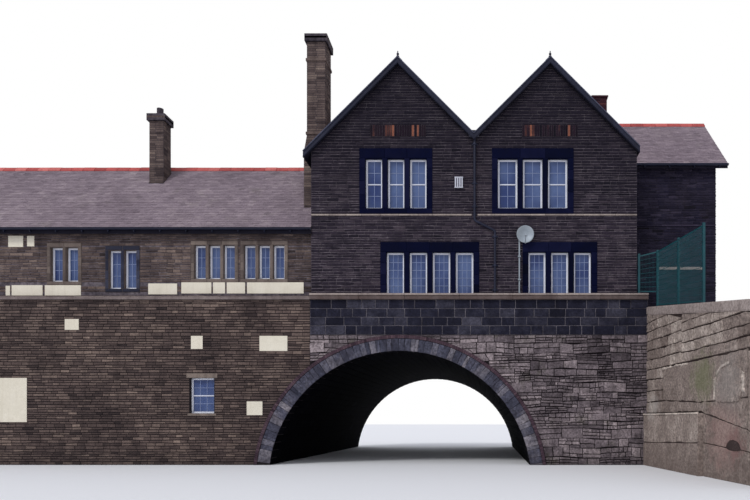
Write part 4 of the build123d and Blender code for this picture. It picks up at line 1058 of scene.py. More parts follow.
def lay_arch(sizes, rng):
    dressed, plain, brick = model_rubble(0.01, 0.014, range(11, 17)), [model_stone(0.01)], [model_stone(0.005)]
    crown = ARCH_RADIUS + RING
    heap = Heap("arch_stones", "Ring stone", "ring_stone")
    for surface in (front_face(-RING_PROUD), rear_face(TUNNEL + RING_PROUD)):
        quads = arc_quads(ARCH_RADIUS, crown, partition(RING_STONES, rng, 0.5), RING_JOINT)
        low = np.clip((PALE_BELOW - quads[:, :, 1].mean(axis=1)) / PALE_OVER, 0, 1)
        tones = np.clip(rng.normal(0.44, 0.13, len(quads)) + PALER * low, 0, 1)
        lay(heap, dressed, surface, quads, 0.012 + 0.016 * rng.random(len(quads)), tones, rng)
    heap = Heap("vault_stones", "Sooty stone", "ring_stone")
    for i in range(2, ARCH_STONES - 2):
        low, high = math.pi * i / ARCH_STONES, math.pi * (i + 1) / ARCH_STONES
        middle = (low + high) / 2
        flat = ARCH_RADIUS * math.cos((high - low) / 2)
        half = ARCH_RADIUS * math.sin((high - low) / 2) - VAULT_JOINT / 2
        centre = (flat * math.cos(middle), 0, flat * math.sin(middle) - ARCH_DROP)
        surface = face(centre, (0, -1, 0), (-math.sin(middle), 0, math.cos(middle)))
        z0, z1 = (ARCH_RADIUS * math.sin(angle) - ARCH_DROP for angle in (low, high))
        rise = max(abs(z1 - z0), 1e-6)
        foot = -half + 2 * half * max(-z0, 0) / rise
        head = half - 2 * half * max(-z1, 0) / rise
        cuts = uneven(-TUNNEL - RING_PROUD, RING_PROUD, VAULT_ROWS, rng, 0.25)
        quads = jointed(lengths(cuts, foot, head), VAULT_JOINT)
        lay(heap, plain, surface, quads, 0.012, some_tones(rng, len(quads), 0.4, 0.2), rng)
    heap = Heap("hood_bricks", "Hood brick", "hood_brick")
    for surface in (front_face(-HOOD_PROUD), rear_face(TUNNEL + HOOD_PROUD)):
        quads = arc_quads(crown, crown + HOOD, np.linspace(0, 1, ARCH_STONES * 4 + 1), 0.006)
        lay(heap, brick, surface, quads, 0.008, some_tones(rng, len(quads), 0.5, 0.16), rng)


SOLDIERS = 23
SOLDIER_PROUD = 0.014
PANEL_BACK = 0.012
LIT_SHARE = 0.12
LIT_TONE, DULL_MOST = 0.9, 0.62


def lay_soldiers(sizes, rng):
    brick = [model_stone(0.005)]
    heap = Heap("soldier_bricks", "Soldier brick", "brick")
    for surface, flip in ((front_face(BLOCK_FRONT - PANEL_BACK), 1), (rear_face(BLOCK_REAR + PANEL_BACK), -1)):
        for apex in (APEX_LEFT, APEX_RIGHT):
            cuts = uneven(flip * apex - PANEL_HALF, flip * apex + PANEL_HALF, SOLDIERS, rng, 0.12)
            quads = jointed(lengths(cuts, PANEL_FOOT, PANEL_HEAD), 0.014)
            lit = rng.random(len(quads)) < LIT_SHARE
            tones = np.where(lit, LIT_TONE, np.minimum(some_tones(rng, len(quads), 0.4, 0.2), DULL_MOST))
            lay(heap, brick, surface, quads, SOLDIER_PROUD, tones, rng)


# Windows and the stone round them

SURROUND_PROUD = 0.02
SURROUND_JOINT = 0.006
SASH = 0.06
SASH_SPLAY = 0.022
SASH_DEPTH = 0.05
BAR_HALF = 0.008
RAIL_HALF = 0.02

# Front and back of the joinery, from the wall's face
SASH_FACE, SASH_BACK = -0.12, -0.17
BAR_FACE, RAIL_FACE, BAR_BACK = -0.128, -0.118, -0.14


def surround_quads(window, row, rng):
    """Corners of the lintel, sill, jamb and mullion stones of one window."""
    centre, low, high, lights = window
    spans = light_spans(centre, lights, row.mullion)
    left, right = spans[0][0] - row.jamb, spans[-1][1] + row.jamb
    marks = [left] + [(a[1] + b[0]) / 2 for a, b in zip(spans, spans[1:])] + [right]
    quads = [rectangle(a, b, high, high + row.lintel) for a, b in zip(marks, marks[1:])]
    if row.sill:
        quads += [rectangle(a, b, low - row.sill, low) for a, b in zip(marks, marks[1:])]
    steps = uneven(low, high, 4, rng, 0.25)
    for a, b in zip(steps, steps[1:]):
        quads += [rectangle(left, left + row.jamb, a, b), rectangle(right - row.jamb, right, a, b)]
    return quads + [rectangle(a[1], b[0], low, high) for a, b in zip(spans, spans[1:])]


def lay_surrounds(sizes, rng):
    dressed = [model_stone(0.012)]
    block = Heap("window_surrounds", "Dressed stone", "dressed_stone")
    wing = Heap("left_wing_surrounds", "Pale dressed stone", "dressed_stone")
    timber = Heap("timber_window_frame", "Barge paint", "dark_paint")
    for row in (UPPER_ROW, LOWER_ROW, LEFT_ROW):
        for window in row.windows:
            heap = timber if window is TIMBER_WINDOW else wing if row is LEFT_ROW else block
            quads = surround_quads(window, row, rng)
            tones = some_tones(rng, len(jointed(np.array(quads), SURROUND_JOINT)), 0.5, 0.15)
            turned = np.array(flipped(quads))[:, [1, 0, 3, 2]]
            for surface, side in ((front_face(row.front - SURROUND_PROUD), np.array(quads)),
                                  (rear_face(row.rear + SURROUND_PROUD), turned)):
                lay(heap, dressed, surface, jointed(side, SURROUND_JOINT), 0.012, tones, rng)
    centre, low, high, lights = BASEMENT_ROW.windows[0]
    half = lights[0] / 2
    stones = [rectangle(centre - half - 0.12, centre + half + 0.12, high, high + 0.16),
              rectangle(centre - half - 0.08, centre + half + 0.08, low - 0.09, low)]
    lay(wing, dressed, front_face(0), stones, 0.024, np.array([0.8, 0.9]), rng)


def set_sash(frames, bars, sash, bar, surface, light, row):
    """One light: its frame, its glazing bars and, on a sliding sash, the meeting rail."""
    def fitted(heap, block, outlines, front, back, tone):
        proud = np.full(len(outlines), front)
        heap.add(block, laid(block, np.array(outlines), proud, surface, back), [tone] * len(outlines))

    fitted(frames, sash, [rectangle(*light)], SASH_FACE, SASH_BACK, 0.6)
    left, right, low, high = light[0] + SASH, light[1] - SASH, light[2] + SASH, light[3] - SASH
    lines = []
    for i in range(1, row.across):
        x = left + (right - left) * i / row.across
        lines.append(rectangle(x - BAR_HALF, x + BAR_HALF, low, high))
    for i in range(1, row.up):
        z = low + (high - low) * i / row.up
        if not (row.sliding and 2 * i == row.up):
            lines.append(rectangle(left, right, z - BAR_HALF, z + BAR_HALF))
    fitted(bars, bar, lines, BAR_FACE, BAR_BACK, 0.5)
    if row.sliding:
        z = (low + high) / 2
        rail = rectangle(left - RAIL_HALF, right + RAIL_HALF, z - RAIL_HALF, z + RAIL_HALF)
        fitted(frames, bar, [rail], RAIL_FACE, BAR_BACK, 0.3)


def make_windows(sizes, rng):
    sash, bar = model_sash(SASH, SASH_SPLAY, SASH_DEPTH), model_stone(0.003)
    for side in ("front", "rear"):
        frames = Heap(f"{side}_sashes", "White paint", "white_paint", f"{side}_window_frames")
        bars = Heap(f"{side}_glazing_bars", "Bar paint", "white_paint")
        for row in (UPPER_ROW, LOWER_ROW, LEFT_ROW, BASEMENT_ROW):
            if side == "rear" and row.rear is None:
                continue
            surface = front_face(row.front) if side == "front" else rear_face(row.rear)
            for centre, low, high, lights in row.windows:
                for left, right in light_spans(centre, lights, row.mullion):
                    span = (left, right) if side == "front" else (-right, -left)
                    set_sash(frames, bars, sash, bar, surface, (*span, low, high), row)


# Roofs

# For each side that a roof slope faces: its directions along the eave and up the slope
SLOPES = {
    "front": ((1, 0, 0), (0, 1, 1)), "rear": ((-1, 0, 0), (0, -1, 1)),
    "left": ((0, -1, 0), (1, 0, 1)), "right": ((0, 1, 0), (-1, 0, 1)),
}
TILE_GAP = 0.002
TILE_HANG = 0.004
TILE_LAP = 0.012
RIDGE_DROP = 0.15
RIDGE_LIFT = 0.05

# Finials, from the ridge up: level, width and height of each round
FINIAL = ((0.07, 0.11, 0.05), (0.13, 0.05, 0.1), (0.17, 0.085, 0.045), (0.22, 0.035, 0.1))
FINIAL_INSET = 0.064


def slope_face(side, line, eave):
    """A 45 degree roof slope that starts at an eave line and faces one side."""
    return face((0, line, eave) if side in ("front", "rear") else (line, 0, eave), *SLOPES[side])


def tiled(heap, tiles, surface, rings, sizes, rng):
    """Courses of tiles on a slope. The outlines are given as (u, rise) and become lengths up the slope."""
    rings = [[(u, rise * math.sqrt(2)) for u, rise in ring] for ring in rings]
    top, bottom = max(v for u, v in rings[0]), min(v for u, v in rings[0])
    count = round((top - bottom) / sizes.gauge)
    quads = []
    for row in range(count):
        low, high = (bottom + (top - bottom) * line / count for line in (row, row + 1))
        shift = (row % 2) * sizes.tile / 2
        for a, b, c, d in bays(rings, low, high):
            marks = np.arange(math.floor((min(a, d) - shift) / sizes.tile), (max(b, c) - shift) / sizes.tile + 1)
            marks = marks * sizes.tile + shift
            for u0, u1 in zip(marks, marks[1:]):
                lower, upper = (max(u0, a), min(u1, b)), (max(u0, d), min(u1, c))
                if lower[1] - lower[0] > 0.02 or upper[1] - upper[0] > 0.02:
                    foot, head = low - TILE_HANG, high + TILE_LAP
                    quads.append(((lower[0], foot), (max(lower), foot), (max(upper), head), (upper[0], head)))
    quads = np.array(quads) + np.array([[TILE_GAP, 0], [-TILE_GAP, 0], [-TILE_GAP, 0], [TILE_GAP, 0]])
    lay_rough(heap, tiles, surface, quads, rng, least=0.02, more=0.005, spread=0.09, drift=0.15)


def outer_slope(foot):
    """Outline of an outer gable slope above its foot: from verge to verge, with the main roof let in."""
    reach, middle = MAIN_RIDGE - foot, BLOCK_MID
    ring = [(0, foot), (middle - reach, foot), (middle, MAIN_RIDGE), (middle + reach, foot), (VERGE_REAR, foot),
            (VERGE_REAR, APEX), (0, APEX)]
    return [(u, v - foot) for u, v in ring]


def tile_roofs(sizes, rng):
    tiles = [model_tile(0.012, 0.014), model_tile(0.015, 0.018)]
    heap = Heap("gable_roof_tiles", "Roof tile", "roof_tile")
    left_foot, right_foot = APEX - (APEX_LEFT - GABLES_LEFT), APEX - (GABLES_RIGHT - APEX_RIGHT)
    stack = rectangle(TALL_STACK[2] - STACK_CLEAR, TALL_STACK[3] + STACK_CLEAR,
                      0, TALL_STACK[1] - GABLES_LEFT + STACK_CLEAR)
    inner = rectangle(0, VERGE_REAR, 0, APEX - VALLEY_TOP)
    for surface, rings in (
            (slope_face("left", GABLES_LEFT, left_foot), flipped([outer_slope(left_foot), stack])),
            (slope_face("right", VALLEY_LEFT, VALLEY_TOP), [inner]),
            (slope_face("left", VALLEY_RIGHT, VALLEY_TOP), flipped([inner])),
            (slope_face("right", GABLES_RIGHT, right_foot), [outer_slope(right_foot)])):
        tiled(heap, tiles, surface, rings, sizes, rng)
    heap = Heap("main_roof_tiles", "Roof tile", "roof_tile")
    eave = MAIN_RIDGE - (BLOCK_MID - MAIN_EAVE)
    rise, half = MAIN_RIDGE - eave, APEX - MAIN_RIDGE
    right = [(GABLES_RIGHT, 0), (MAIN_END, 0), (MAIN_END, rise), (APEX_RIGHT + half, rise),
             (GABLES_RIGHT, right_foot - eave)]
    left = [(GABLES_LEFT, 0), (GABLES_LEFT + eave - left_foot, 0), (APEX_LEFT - half, rise), (GABLES_LEFT, rise)]
    stack = rectangle(END_STACK[0] - STACK_CLEAR, END_STACK[1] + STACK_CLEAR, rise - 0.37, rise + 0.1)
    for side, line in (("front", MAIN_EAVE), ("rear", 2 * BLOCK_MID - MAIN_EAVE)):
        for rings in ([right, stack], [left]):
            tiled(heap, tiles, slope_face(side, line, eave), rings if side == "front" else flipped(rings), sizes, rng)
    heap = Heap("left_wing_roof_tiles", "Roof tile", "roof_tile")
    outline = rectangle(WING_VERGE, BLOCK_LEFT, 0, WING_RIDGE - WING_EAVE)
    stack = rectangle(LEFT_STACK[0] - STACK_CLEAR, LEFT_STACK[1] + STACK_CLEAR,
                      LEFT_STACK[2] - 0.12, LEFT_STACK[3] - 0.08)
    tiled(heap, tiles, slope_face("front", WING_EAVES[0], WING_EAVE), [outline, stack], sizes, rng)
    tiled(heap, tiles, slope_face("rear", WING_EAVES[1], WING_EAVE), flipped([outline]), sizes, rng)


def set_ridges(heap, ridge, start, stop, count, rng):
    """A line of ridge tiles from one point to another on a level ridge."""
    start, stop = np.array(start, float), np.array(stop, float)
    along = (stop - start) / np.linalg.norm(stop - start)
    across = np.cross(along, (0, 0, 1))
    length = np.linalg.norm(stop - start) / count
    x, y, z = ridge.points.T
    for i in range(count):
        centre = start + (stop - start) * (i + 0.5) / count
        points = (centre + ORIGIN + x[:, None] * across + (y * length * 0.985)[:, None] * along
                  + (z + RIDGE_LIFT + rng.normal(0, 0.002))[:, None] * np.array((0, 0, 1)))
        heap.add(ridge, points[None], some_tones(rng, 1, 0.5, 0.2))


def make_ridges(sizes, rng):
    ridge, spike = model_ridge(), model_round(8, 0.02)
    heap = Heap("gable_ridges", "Slate", "slate", "gable_ridge_tiles")
    for apex in (APEX_LEFT, APEX_RIGHT):
        z = APEX - RIDGE_DROP
        set_ridges(heap, ridge, (apex, 0, z), (apex, VERGE_REAR, z), 16, rng)
        for y in (FINIAL_INSET, VERGE_REAR - FINIAL_INSET):
            for level, wide, tall in FINIAL:
                set_round(heap, spike, (apex, y, APEX + level - 0.01), (wide, wide, tall), 0.3)
    heap = Heap("red_ridges", "Ridge tile", "red_tile", "red_ridge_tiles")
    y, z, half = BLOCK_MID, MAIN_RIDGE - RIDGE_DROP, APEX - MAIN_RIDGE + 0.16
    for left, right, count in ((APEX_RIGHT + half, END_STACK[0], 4), (END_STACK[1], MAIN_END, 8),
                               (GABLES_LEFT, APEX_LEFT - half, 5)):
        set_ridges(heap, ridge, (left, y, z), (right, y, z), count, rng)
    y, z = WING_MID, WING_RIDGE - RIDGE_DROP
    set_ridges(heap, ridge, (WING_VERGE, y, z), (BLOCK_LEFT, y, z), 30, rng)


# Ledges, chimneys and trim

# Courses of the front ledge: the middle of their depth, level, depth, height and tone. The upper course's pale tone
# is a painted highlight on the ledge's lit top; the lower course is darker.
LEDGE_COURSES = ((0, 5.868, 0.3, 0.064, 0.85), (0.015, 5.767, 0.27, 0.134, 0.12))

# The strip on the left wing and the rear parapet's coping: ends, slabs and how uneven they are, the middle of their
# depth, level, depth and height, gap, how far their tones spread and how they are turned
SLAB_ROWS = (
    (WING_LEFT, BLOCK_LEFT, 13, 0.15, 0.04, 5.8, (0.2, 0.05), 0.006, 0.12, Matrix.Rotation(0.15, 3, "X")),
    (PORTAL_LEFT, PORTAL_RIGHT, 15, 0.1, TUNNEL - 0.225, 6.775, (0.55, 0.15), 0.008, 0.15, None),
)


def make_ledges(sizes, rng):
    slab = model_bar(0.014, 2)
    heap = Heap("ledge_stones", "Ledge stone", "ledge_stone", "ledge")
    cuts = uneven(BLOCK_LEFT, PORTAL_RIGHT, 7, rng, 0.15)
    for a, b in zip(cuts, cuts[1:]):
        for y, z, deep, tall, tone in LEDGE_COURSES:
            set_bar(heap, slab, ((a + b) / 2, y, z), (b - a - 0.004, deep, tall), rng.normal(tone, 0.06))
    heap = Heap("strip_and_parapet_stones", "Ledge stone", "ledge_stone", "rear_parapet_coping")
    for start, stop, count, spread, y, z, size, gap, tone_spread, turn in SLAB_ROWS:
        cuts = uneven(start, stop, count, rng, spread)
        for a, b in zip(cuts, cuts[1:]):
            set_bar(heap, slab, ((a + b) / 2, y, z), (b - a - gap, *size), rng.normal(0.5, tone_spread), turn)


# The string course: where the downpipe cuts it, its foot and head, and how far it stands out
STRING_BREAK = (2.468, 2.672)
STRING_SPAN = (STRING - 0.062, STRING - 0.004)
STRING_PROUD = 0.045


def make_strings(sizes, rng):
    slab = model_bar(0.01, 2)
    pale = Heap("string_course_lengths", "Ledge stone", "ledge_stone", "string_course")
    dark = Heap("wing_string_lengths", "Shaded stone", "ledge_stone")
    for heap, surface, start, stop, count in (
            (pale, front_face(BLOCK_FRONT), BLOCK_LEFT, STRING_BREAK[0], 9),
            (pale, front_face(BLOCK_FRONT), STRING_BREAK[1], BLOCK_RIGHT, 9),
            (pale, rear_face(BLOCK_REAR), -BLOCK_RIGHT, -BLOCK_LEFT, 18),
            (dark, front_face(MAIN_FRONT), BLOCK_RIGHT, WING_RIGHT, 5)):
        cuts = uneven(start, stop, count, rng, 0.2)
        quads = jointed(lengths(cuts, *STRING_SPAN), 0.005)
        lay(heap, [slab], surface, quads, STRING_PROUD, some_tones(rng, len(quads), 0.85, 0.1), rng, -0.002)
    set_bar(pale, slab, (WING_RIGHT - 1.25, MAIN_FRONT - 0.02, 7.095), (1.64, 0.05, 0.1), 1.0)


# Steps of a stone stack's cap: drop of the middle below the top, overhang and height
STONE_CAP = ((0.215, 0.035, 0.09), (0.125, 0.075, 0.09), (0.04, 0.055, 0.085))
CAP_TALL = 0.26
POT_TALL = 0.33
SHOULDER = 11.89
SHOULDER_SLOPE = 0.6
BREAST = 0.11


def stack_sides(stack, foot_front, foot_rear, top, ridge=()):
    """The four faces of a stack and their outlines. A ridge under it notches two of them."""
    x0, x1, y0, y1 = stack
    side = [(y0, foot_front), *ridge, (y1, foot_rear), (y1, top), (y0, top)]
    return ((front_face(y0), rectangle(x0, x1, foot_front, top)),
            (rear_face(y1), rectangle(-x1, -x0, foot_rear, top)),
            (right_face(x1), side), (left_face(x0), flipped([side])[0]))


def capped(heap, slab, stack, top, steps):
    """The stepped cap of a stack: for each step the drop of its middle, its overhang and its height."""
    x0, x1, y0, y1 = stack
    for drop, wide, tall in steps:
        size = (x1 - x0 + 2 * wide, y1 - y0 + 2 * wide, tall)
        set_bar(heap, slab, ((x0 + x1) / 2, (y0 + y1) / 2, top - drop), size, 0.55)


def make_chimneys(sizes, rng):
    blocks, slab = [model_stone(0.005)], model_bar(0.012)
    stone = Heap("stone_stack_courses", "Stack stone", "block_stone")
    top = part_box("tall_chimney")[1].z
    x0, x1, y0, y1 = TALL_STACK
    neck, wide, slope_foot = top - CAP_TALL, x0 - BREAST, SHOULDER - SHOULDER_SLOPE
    verge = APEX - (APEX_LEFT - GABLES_LEFT)
    inner_foot = verge + x1 - GABLES_LEFT
    feet = [WING_EAVE + y - WING_EAVES[0] for y in (y0, y1)]
    front, rear = ([(wide, foot), (GABLES_LEFT, foot), (GABLES_LEFT, verge), (x1, inner_foot), (x1, neck),
                    (x0, neck), (x0, SHOULDER), (wide, slope_foot)] for foot in feet)
    bricked(stone, blocks, (
        (front_face(y0), front), (rear_face(y1), flipped([rear])[0]),
        (right_face(x1), rectangle(y0, y1, inner_foot, neck)), (left_face(x0), rectangle(-y1, -y0, SHOULDER, neck)),
        (left_face(wide), [(-y1, feet[1]), (-y0, feet[0]), (-y0, slope_foot), (-y1, slope_foot)]),
    ), rng)
    capped(stone, slab, TALL_STACK, top, STONE_CAP + ((top - SHOULDER - 0.045, 0.04, 0.1), (0.915, 0.04, 0.1)))
    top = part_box("left_wing_chimney")[1].z - POT_TALL
    feet = [WING_EAVE + y - WING_EAVES[0] for y in LEFT_STACK[2:]]
    bricked(stone, blocks, stack_sides(LEFT_STACK, *feet, top - CAP_TALL), rng)
    capped(stone, slab, LEFT_STACK, top, STONE_CAP)
    brick = Heap("brick_stack_courses", "Dark brick", "brick")
    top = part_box("end_chimney")[1].z
    foot = MAIN_RIDGE - (BLOCK_MID - END_STACK[2])
    sides = stack_sides(END_STACK, foot, foot, top - 0.06, [(BLOCK_MID, MAIN_RIDGE)])
    bricked(brick, blocks, sides, rng, height=0.078, length=0.225, joint=0.01)
    capped(brick, slab, END_STACK, top, ((0.03, 0.055, 0.065),))


# Collars of the downpipe: levels on each of its two straight lengths
COLLARS = ((2.57, (11.1, 9.75, 8.95)), (3.276, (7.9, 6.9, 6.05)))
BRACKET_STEP = 0.9

# Mouldings of the bargeboards: lift from the roof's line, depth, height and tone. The upper moulding's pale tone is a
# painted highlight along the boards' top edge.
BARGE_MOULDINGS = ((-0.18, 0.03, 0.03, 0.4), (0.01, 0.05, 0.035, 0.95))
BARGE_OUT = 0.055
STOP_OUT = 0.045

# The vent's middle, and the places of its upright and level bars
VENT = (2.025, 9.78)
VENT_UPRIGHTS = np.linspace(1.91, 2.14, 4)
VENT_LEVELS = (9.605, 9.955)


def make_trim(sizes, rng):
    slab, collar = model_bar(0.008), model_round(12)
    iron = Heap("pipe_collars_and_brackets", "Iron paint", "iron")
    for x, levels in COLLARS:
        for z in levels:
            set_round(iron, collar, (x, 0.068, z), (0.12, 0.12, 0.07), 0.6)
            set_bar(iron, slab, (x, 0.12, z), (0.2, 0.03, 0.05), 0.6)
    for start, stop, y, z in ((WING_LEFT, BLOCK_LEFT, 0.07, WING_EAVE - 0.12),
                              (BLOCK_RIGHT + 0.5, MAIN_END, MAIN_EAVE - 0.03, 10.74)):
        for x in np.arange(start, stop, BRACKET_STEP):
            set_bar(iron, slab, (x, y, z), (0.03, 0.1, 0.12), 0.5)
    barge = Heap("barge_mouldings", "Barge paint", "dark_paint")
    for apex, ends in ((APEX_LEFT, (GABLES_LEFT, VALLEY_X)), (APEX_RIGHT, (VALLEY_X, GABLES_RIGHT))):
        for side, end in zip((-1, 1), ends):
            run = abs(end - apex)
            turn = Matrix.Rotation(side * math.pi / 4, 3, "Y")
            for y in (-BARGE_OUT, VERGE_REAR + BARGE_OUT):
                for lift, deep, tall, tone in BARGE_MOULDINGS:
                    middle = (apex + side * run / 2, y, APEX - run / 2 + lift)
                    set_bar(barge, slab, middle, (run * 1.414, deep, tall), tone, turn)
    stop_board = [model_stone(0.006)]
    for side in (-1, 1):
        a, b = VALLEY_X + side * VALLEY_HALF, VALLEY_X
        ring = [(a, VALLEY_TOP - 0.205), (b, VALLEY_TOP - 0.375), (b, VALLEY_TOP - VALLEY_HALF), (a, VALLEY_TOP)]
        for surface, sign in ((front_face(-STOP_OUT), 1), (rear_face(VERGE_REAR + STOP_OUT), -1)):
            corners = [(sign * u, v) for u, v in ring]
            if side * sign > 0:
                corners = [corners[i] for i in (1, 0, 3, 2)]
            lay(barge, stop_board, surface, [corners], 0.006, np.array([0.5]), rng, -0.04)
    vent = Heap("vent_louvres", "Vent plastic", "vent_plastic", "wall_vent")
    # The dark plate behind the louvres is painted shade inside the vent.
    set_bar(vent, slab, (VENT[0], 0.12, VENT[1]), (0.29, 0.06, 0.38), 0.0)
    for x in VENT_UPRIGHTS:
        set_bar(vent, slab, (x, 0.085, VENT[1]), (0.045, 0.03, 0.33), 0.8)
    for z in VENT_LEVELS:
        set_bar(vent, slab, (VENT[0], 0.085, z), (0.3, 0.035, 0.035), 0.8)


def make_aerial(sizes, rng):
    slab, cup = model_bar(0.004), model_round(10)
    heap = Heap("aerial_fittings", "Grey metal", "grey_metal")
    set_bar(heap, slab, (4.32, -0.16, 7.72), (0.025, 0.34, 0.025), 0.6, Matrix.Rotation(-0.5, 3, "X"))
    set_round(heap, cup, (4.32, -0.31, 7.83), (0.05, 0.05, 0.1), 0.7, Matrix.Rotation(1.3, 3, "X"))
    for z in (6.4, 7.2, 7.9):
        set_bar(heap, slab, (4.12, 0.07, z), (0.1, 0.14, 0.04), 0.5)


# Wing wall and fence

WALL_LENGTH = math.hypot(WALL_RUN, WALL_SPLAY)
WALL_UNDER_BACK = WALL_TOP_BACK - WALL_COPING
WALL_UNDER_FRONT = WALL_TOP_FRONT - WALL_COPING

# Where the small blocks end, the foot of the courses, and the level under them at the small blocks' end
SMALL_END = 3.0
COATS_HEAD = 3.26
SMALL_HEAD = WALL_UNDER_BACK - SMALL_END * (WALL_TOP_BACK - WALL_TOP_FRONT) / WALL_LENGTH

# Coats of render on the inner face, in order: the lines of their foot and head as (length along the wall, level),
# how far they stand out, their tone, and where they differ the step between their points and the waves of the lines
COATS = (
    ([(1.5, 2.2), (4.2, 2.06), (6.9, 2.1)], [(1.5, 3.2), (6.9, 3.24)], 0.03, 0.42),
    ([(6.94, 1.32), (WALL_LENGTH, 1.0)], [(6.94, 3.2), (WALL_LENGTH, 3.22)], 0.035, 0.5),
    ([(1.5, 1.79), (4.35, 1.79), (5.1, 1.64), (6.9, 1.33)], [(1.5, 2.17), (4.2, 2.03), (6.9, 2.07)], 0.025, 0.45),
    ([(5.25, 2.06), (5.4, 2.02), (6.5, 2.0), (6.62, 2.2)],
     [(5.25, 2.5), (5.55, 2.86), (6.2, 2.95), (6.62, 2.8)], 0.06, 0.52, 0.12),
    # These four pale strips, of tone 0.92, are painted highlights on the edges of the raised patch and along the top
    # of a course.
    ([(5.14, 2.1), (5.24, 2.12)], [(5.16, 2.62), (5.24, 2.7)], 0.05, 0.92, 0.1),
    ([(5.3, 2.72), (5.55, 2.9), (6.0, 2.97)], [(5.3, 2.8), (5.55, 2.98), (6.0, 3.03)], 0.05, 0.92, 0.1),
    ([(6.64, 2.25), (6.76, 2.2)], [(6.66, 2.75), (6.76, 2.7)], 0.05, 0.92, 0.1),
    ([(1.5, 3.17), (3.4, 3.17)], [(1.5, 3.23), (3.4, 3.23)], 0.05, 0.92, 0.1),
    ([(PLINTH_END, 0.93), (5.55, 0.87), (5.75, 0.86), (5.82, 0.96), (5.95, 1.03), (6.15, 1.05), (6.35, 1.02),
      (6.48, 0.95), (6.55, 0.83), (WALL_LENGTH, 0.7)],
     [(PLINTH_END, 1.73), (5.1, 1.61), (6.9, 1.3), (WALL_LENGTH, 0.96)], 0.02, 0.4, 0.3, 0.004),
    ([(PLINTH_END, 0.0), (WALL_LENGTH, 0.0)],
     [(PLINTH_END, 0.91), (5.55, 0.85), (5.75, 0.83), (5.9, 0.79), (6.15, 0.77), (6.4, 0.78), (6.55, 0.81),
      (WALL_LENGTH, 0.68)], 0.03, 0.4, 0.3, 0.0),
)

# Coats on the long side of the plinth
PLINTH_COATS = (
    ([(0.02, 0.0), (PLINTH_END, 0.0)], [(0.02, 0.77), (PLINTH_END, 0.9)], 0.02, 0.42, 0.3, 0.0),
    ([(0.02, 0.8), (PLINTH_END, 0.94)], [(0.02, 1.71), (PLINTH_END, 1.71)], 0.012, 0.55, 0.3),
    # A pale strip painted as a highlight along the plinth's top edge.
    ([(0.02, 1.715), (PLINTH_END, 1.715)], [(0.02, 1.765), (PLINTH_END, 1.765)], 0.03, 1.0, 0.3, 0.004),
)
PLINTH_REACH = 4.4


def wall_top(y):
    return WALL_TOP_BACK - (WALL_TOP_BACK - WALL_TOP_FRONT) * max(-y, 0) / WALL_RUN


def splay(y):
    return WALL_SPLAY * max(-y, 0) / WALL_RUN


def coated(heap, block, surface, rng, foot, head, proud, tone, step=0.22, wave=0.012):
    """A coat of render between two broken lines, given as (u, v) points, in joined lengths."""
    start, stop = foot[0][0], foot[-1][0]
    marks = np.linspace(start, stop, max(2, round((stop - start) / step) + 1))
    marks = np.unique(np.concatenate((marks, [u for u, v in foot + head])))
    lower = np.interp(marks, *np.array(foot).T) + rng.normal(0, wave, len(marks))
    upper = np.interp(marks, *np.array(head).T) + rng.normal(0, wave, len(marks))
    below, above = np.stack((marks, lower), 1), np.stack((marks, upper), 1)
    quads = np.stack((below[:-1], below[1:], above[1:], above[:-1]), 1)
    lay(heap, [block], surface, quads, proud, np.full(len(quads), tone), rng, -0.01)


def make_wing_wall(sizes, rng):
    rough, coat = model_rubble(0.012, 0.024, range(21, 27)), model_coat(0.012)
    heap = Heap("wing_wall_stones", "Wall render", "wing_concrete")
    inner, plinth = (face((x, 0, 0), (WALL_SPLAY, -WALL_RUN, 0)) for x in (PORTAL_RIGHT, PORTAL_RIGHT - PLINTH_PROUD))
    toe = PORTAL_RIGHT + WALL_SPLAY
    outer = face((PORTAL_RIGHT + WALL_THICK + WALL_SPLAY, -WALL_RUN, 0), (-WALL_SPLAY, WALL_RUN, 0))
    courses = [(SMALL_END, COATS_HEAD), (WALL_LENGTH, COATS_HEAD), (WALL_LENGTH, WALL_UNDER_FRONT),
               (SMALL_END, SMALL_HEAD)]
    small = [(0, COATS_HEAD), (SMALL_END, COATS_HEAD), (SMALL_END, SMALL_HEAD), (0, WALL_UNDER_BACK)]
    back = [(0, 0), (WALL_LENGTH, 0), (WALL_LENGTH, WALL_UNDER_BACK), (0, WALL_UNDER_FRONT)]
    for surface, outline, tall, long in (
            (inner, courses, 0.32, 0.85), (inner, small, 0.32, 0.5),
            (inner, rectangle(0, 1.45, 1.78, COATS_HEAD), 0.37, 0.6), (outer, back, 0.32, 0.8),
            (front_face(-WALL_RUN), rectangle(toe, toe + WALL_THICK, 0, WALL_UNDER_FRONT), 0.32, 0.8)):
        coursed(heap, rough, surface, [outline], WING_WALL_BLOCKS, tall, long, rng)
    for row in COATS:
        coated(heap, coat, inner, rng, *row)
    left = PORTAL_RIGHT - PLINTH_PROUD + splay(-PLINTH_REACH) - 0.01
    right = left + PLINTH_PROUD
    coated(heap, coat, front_face(-PLINTH_REACH), rng, [(left, 0.0), (right, 0.0)], [(left, 1.74), (right, 1.74)],
           0.02, 0.4, 0.3, 0.0)
    for row in PLINTH_COATS:
        coated(heap, coat, plinth, rng, *row)
    slab = model_bar(0.03, 2)
    heap = Heap("wing_wall_coping_slabs", "Coping concrete", "wing_concrete")
    cuts = uneven(-WALL_RUN, 0, 2, rng, 0.1)
    for a, b in zip(cuts, cuts[1:]):
        middle = (a + b) / 2
        points = stretched(slab, (WALL_THICK + 0.12, b - a, WALL_COPING - 0.02))
        points[:, 2] += points[:, 1] * (WALL_TOP_BACK - WALL_TOP_FRONT) / WALL_RUN
        points[:, 0] -= points[:, 1] * WALL_SPLAY / WALL_RUN
        centre = (PORTAL_RIGHT + splay(middle) + WALL_THICK / 2, middle, wall_top(middle) - WALL_COPING / 2)
        set_copy(heap, slab, points, centre, some_tones(rng, 1, 0.5, 0.05)[0])


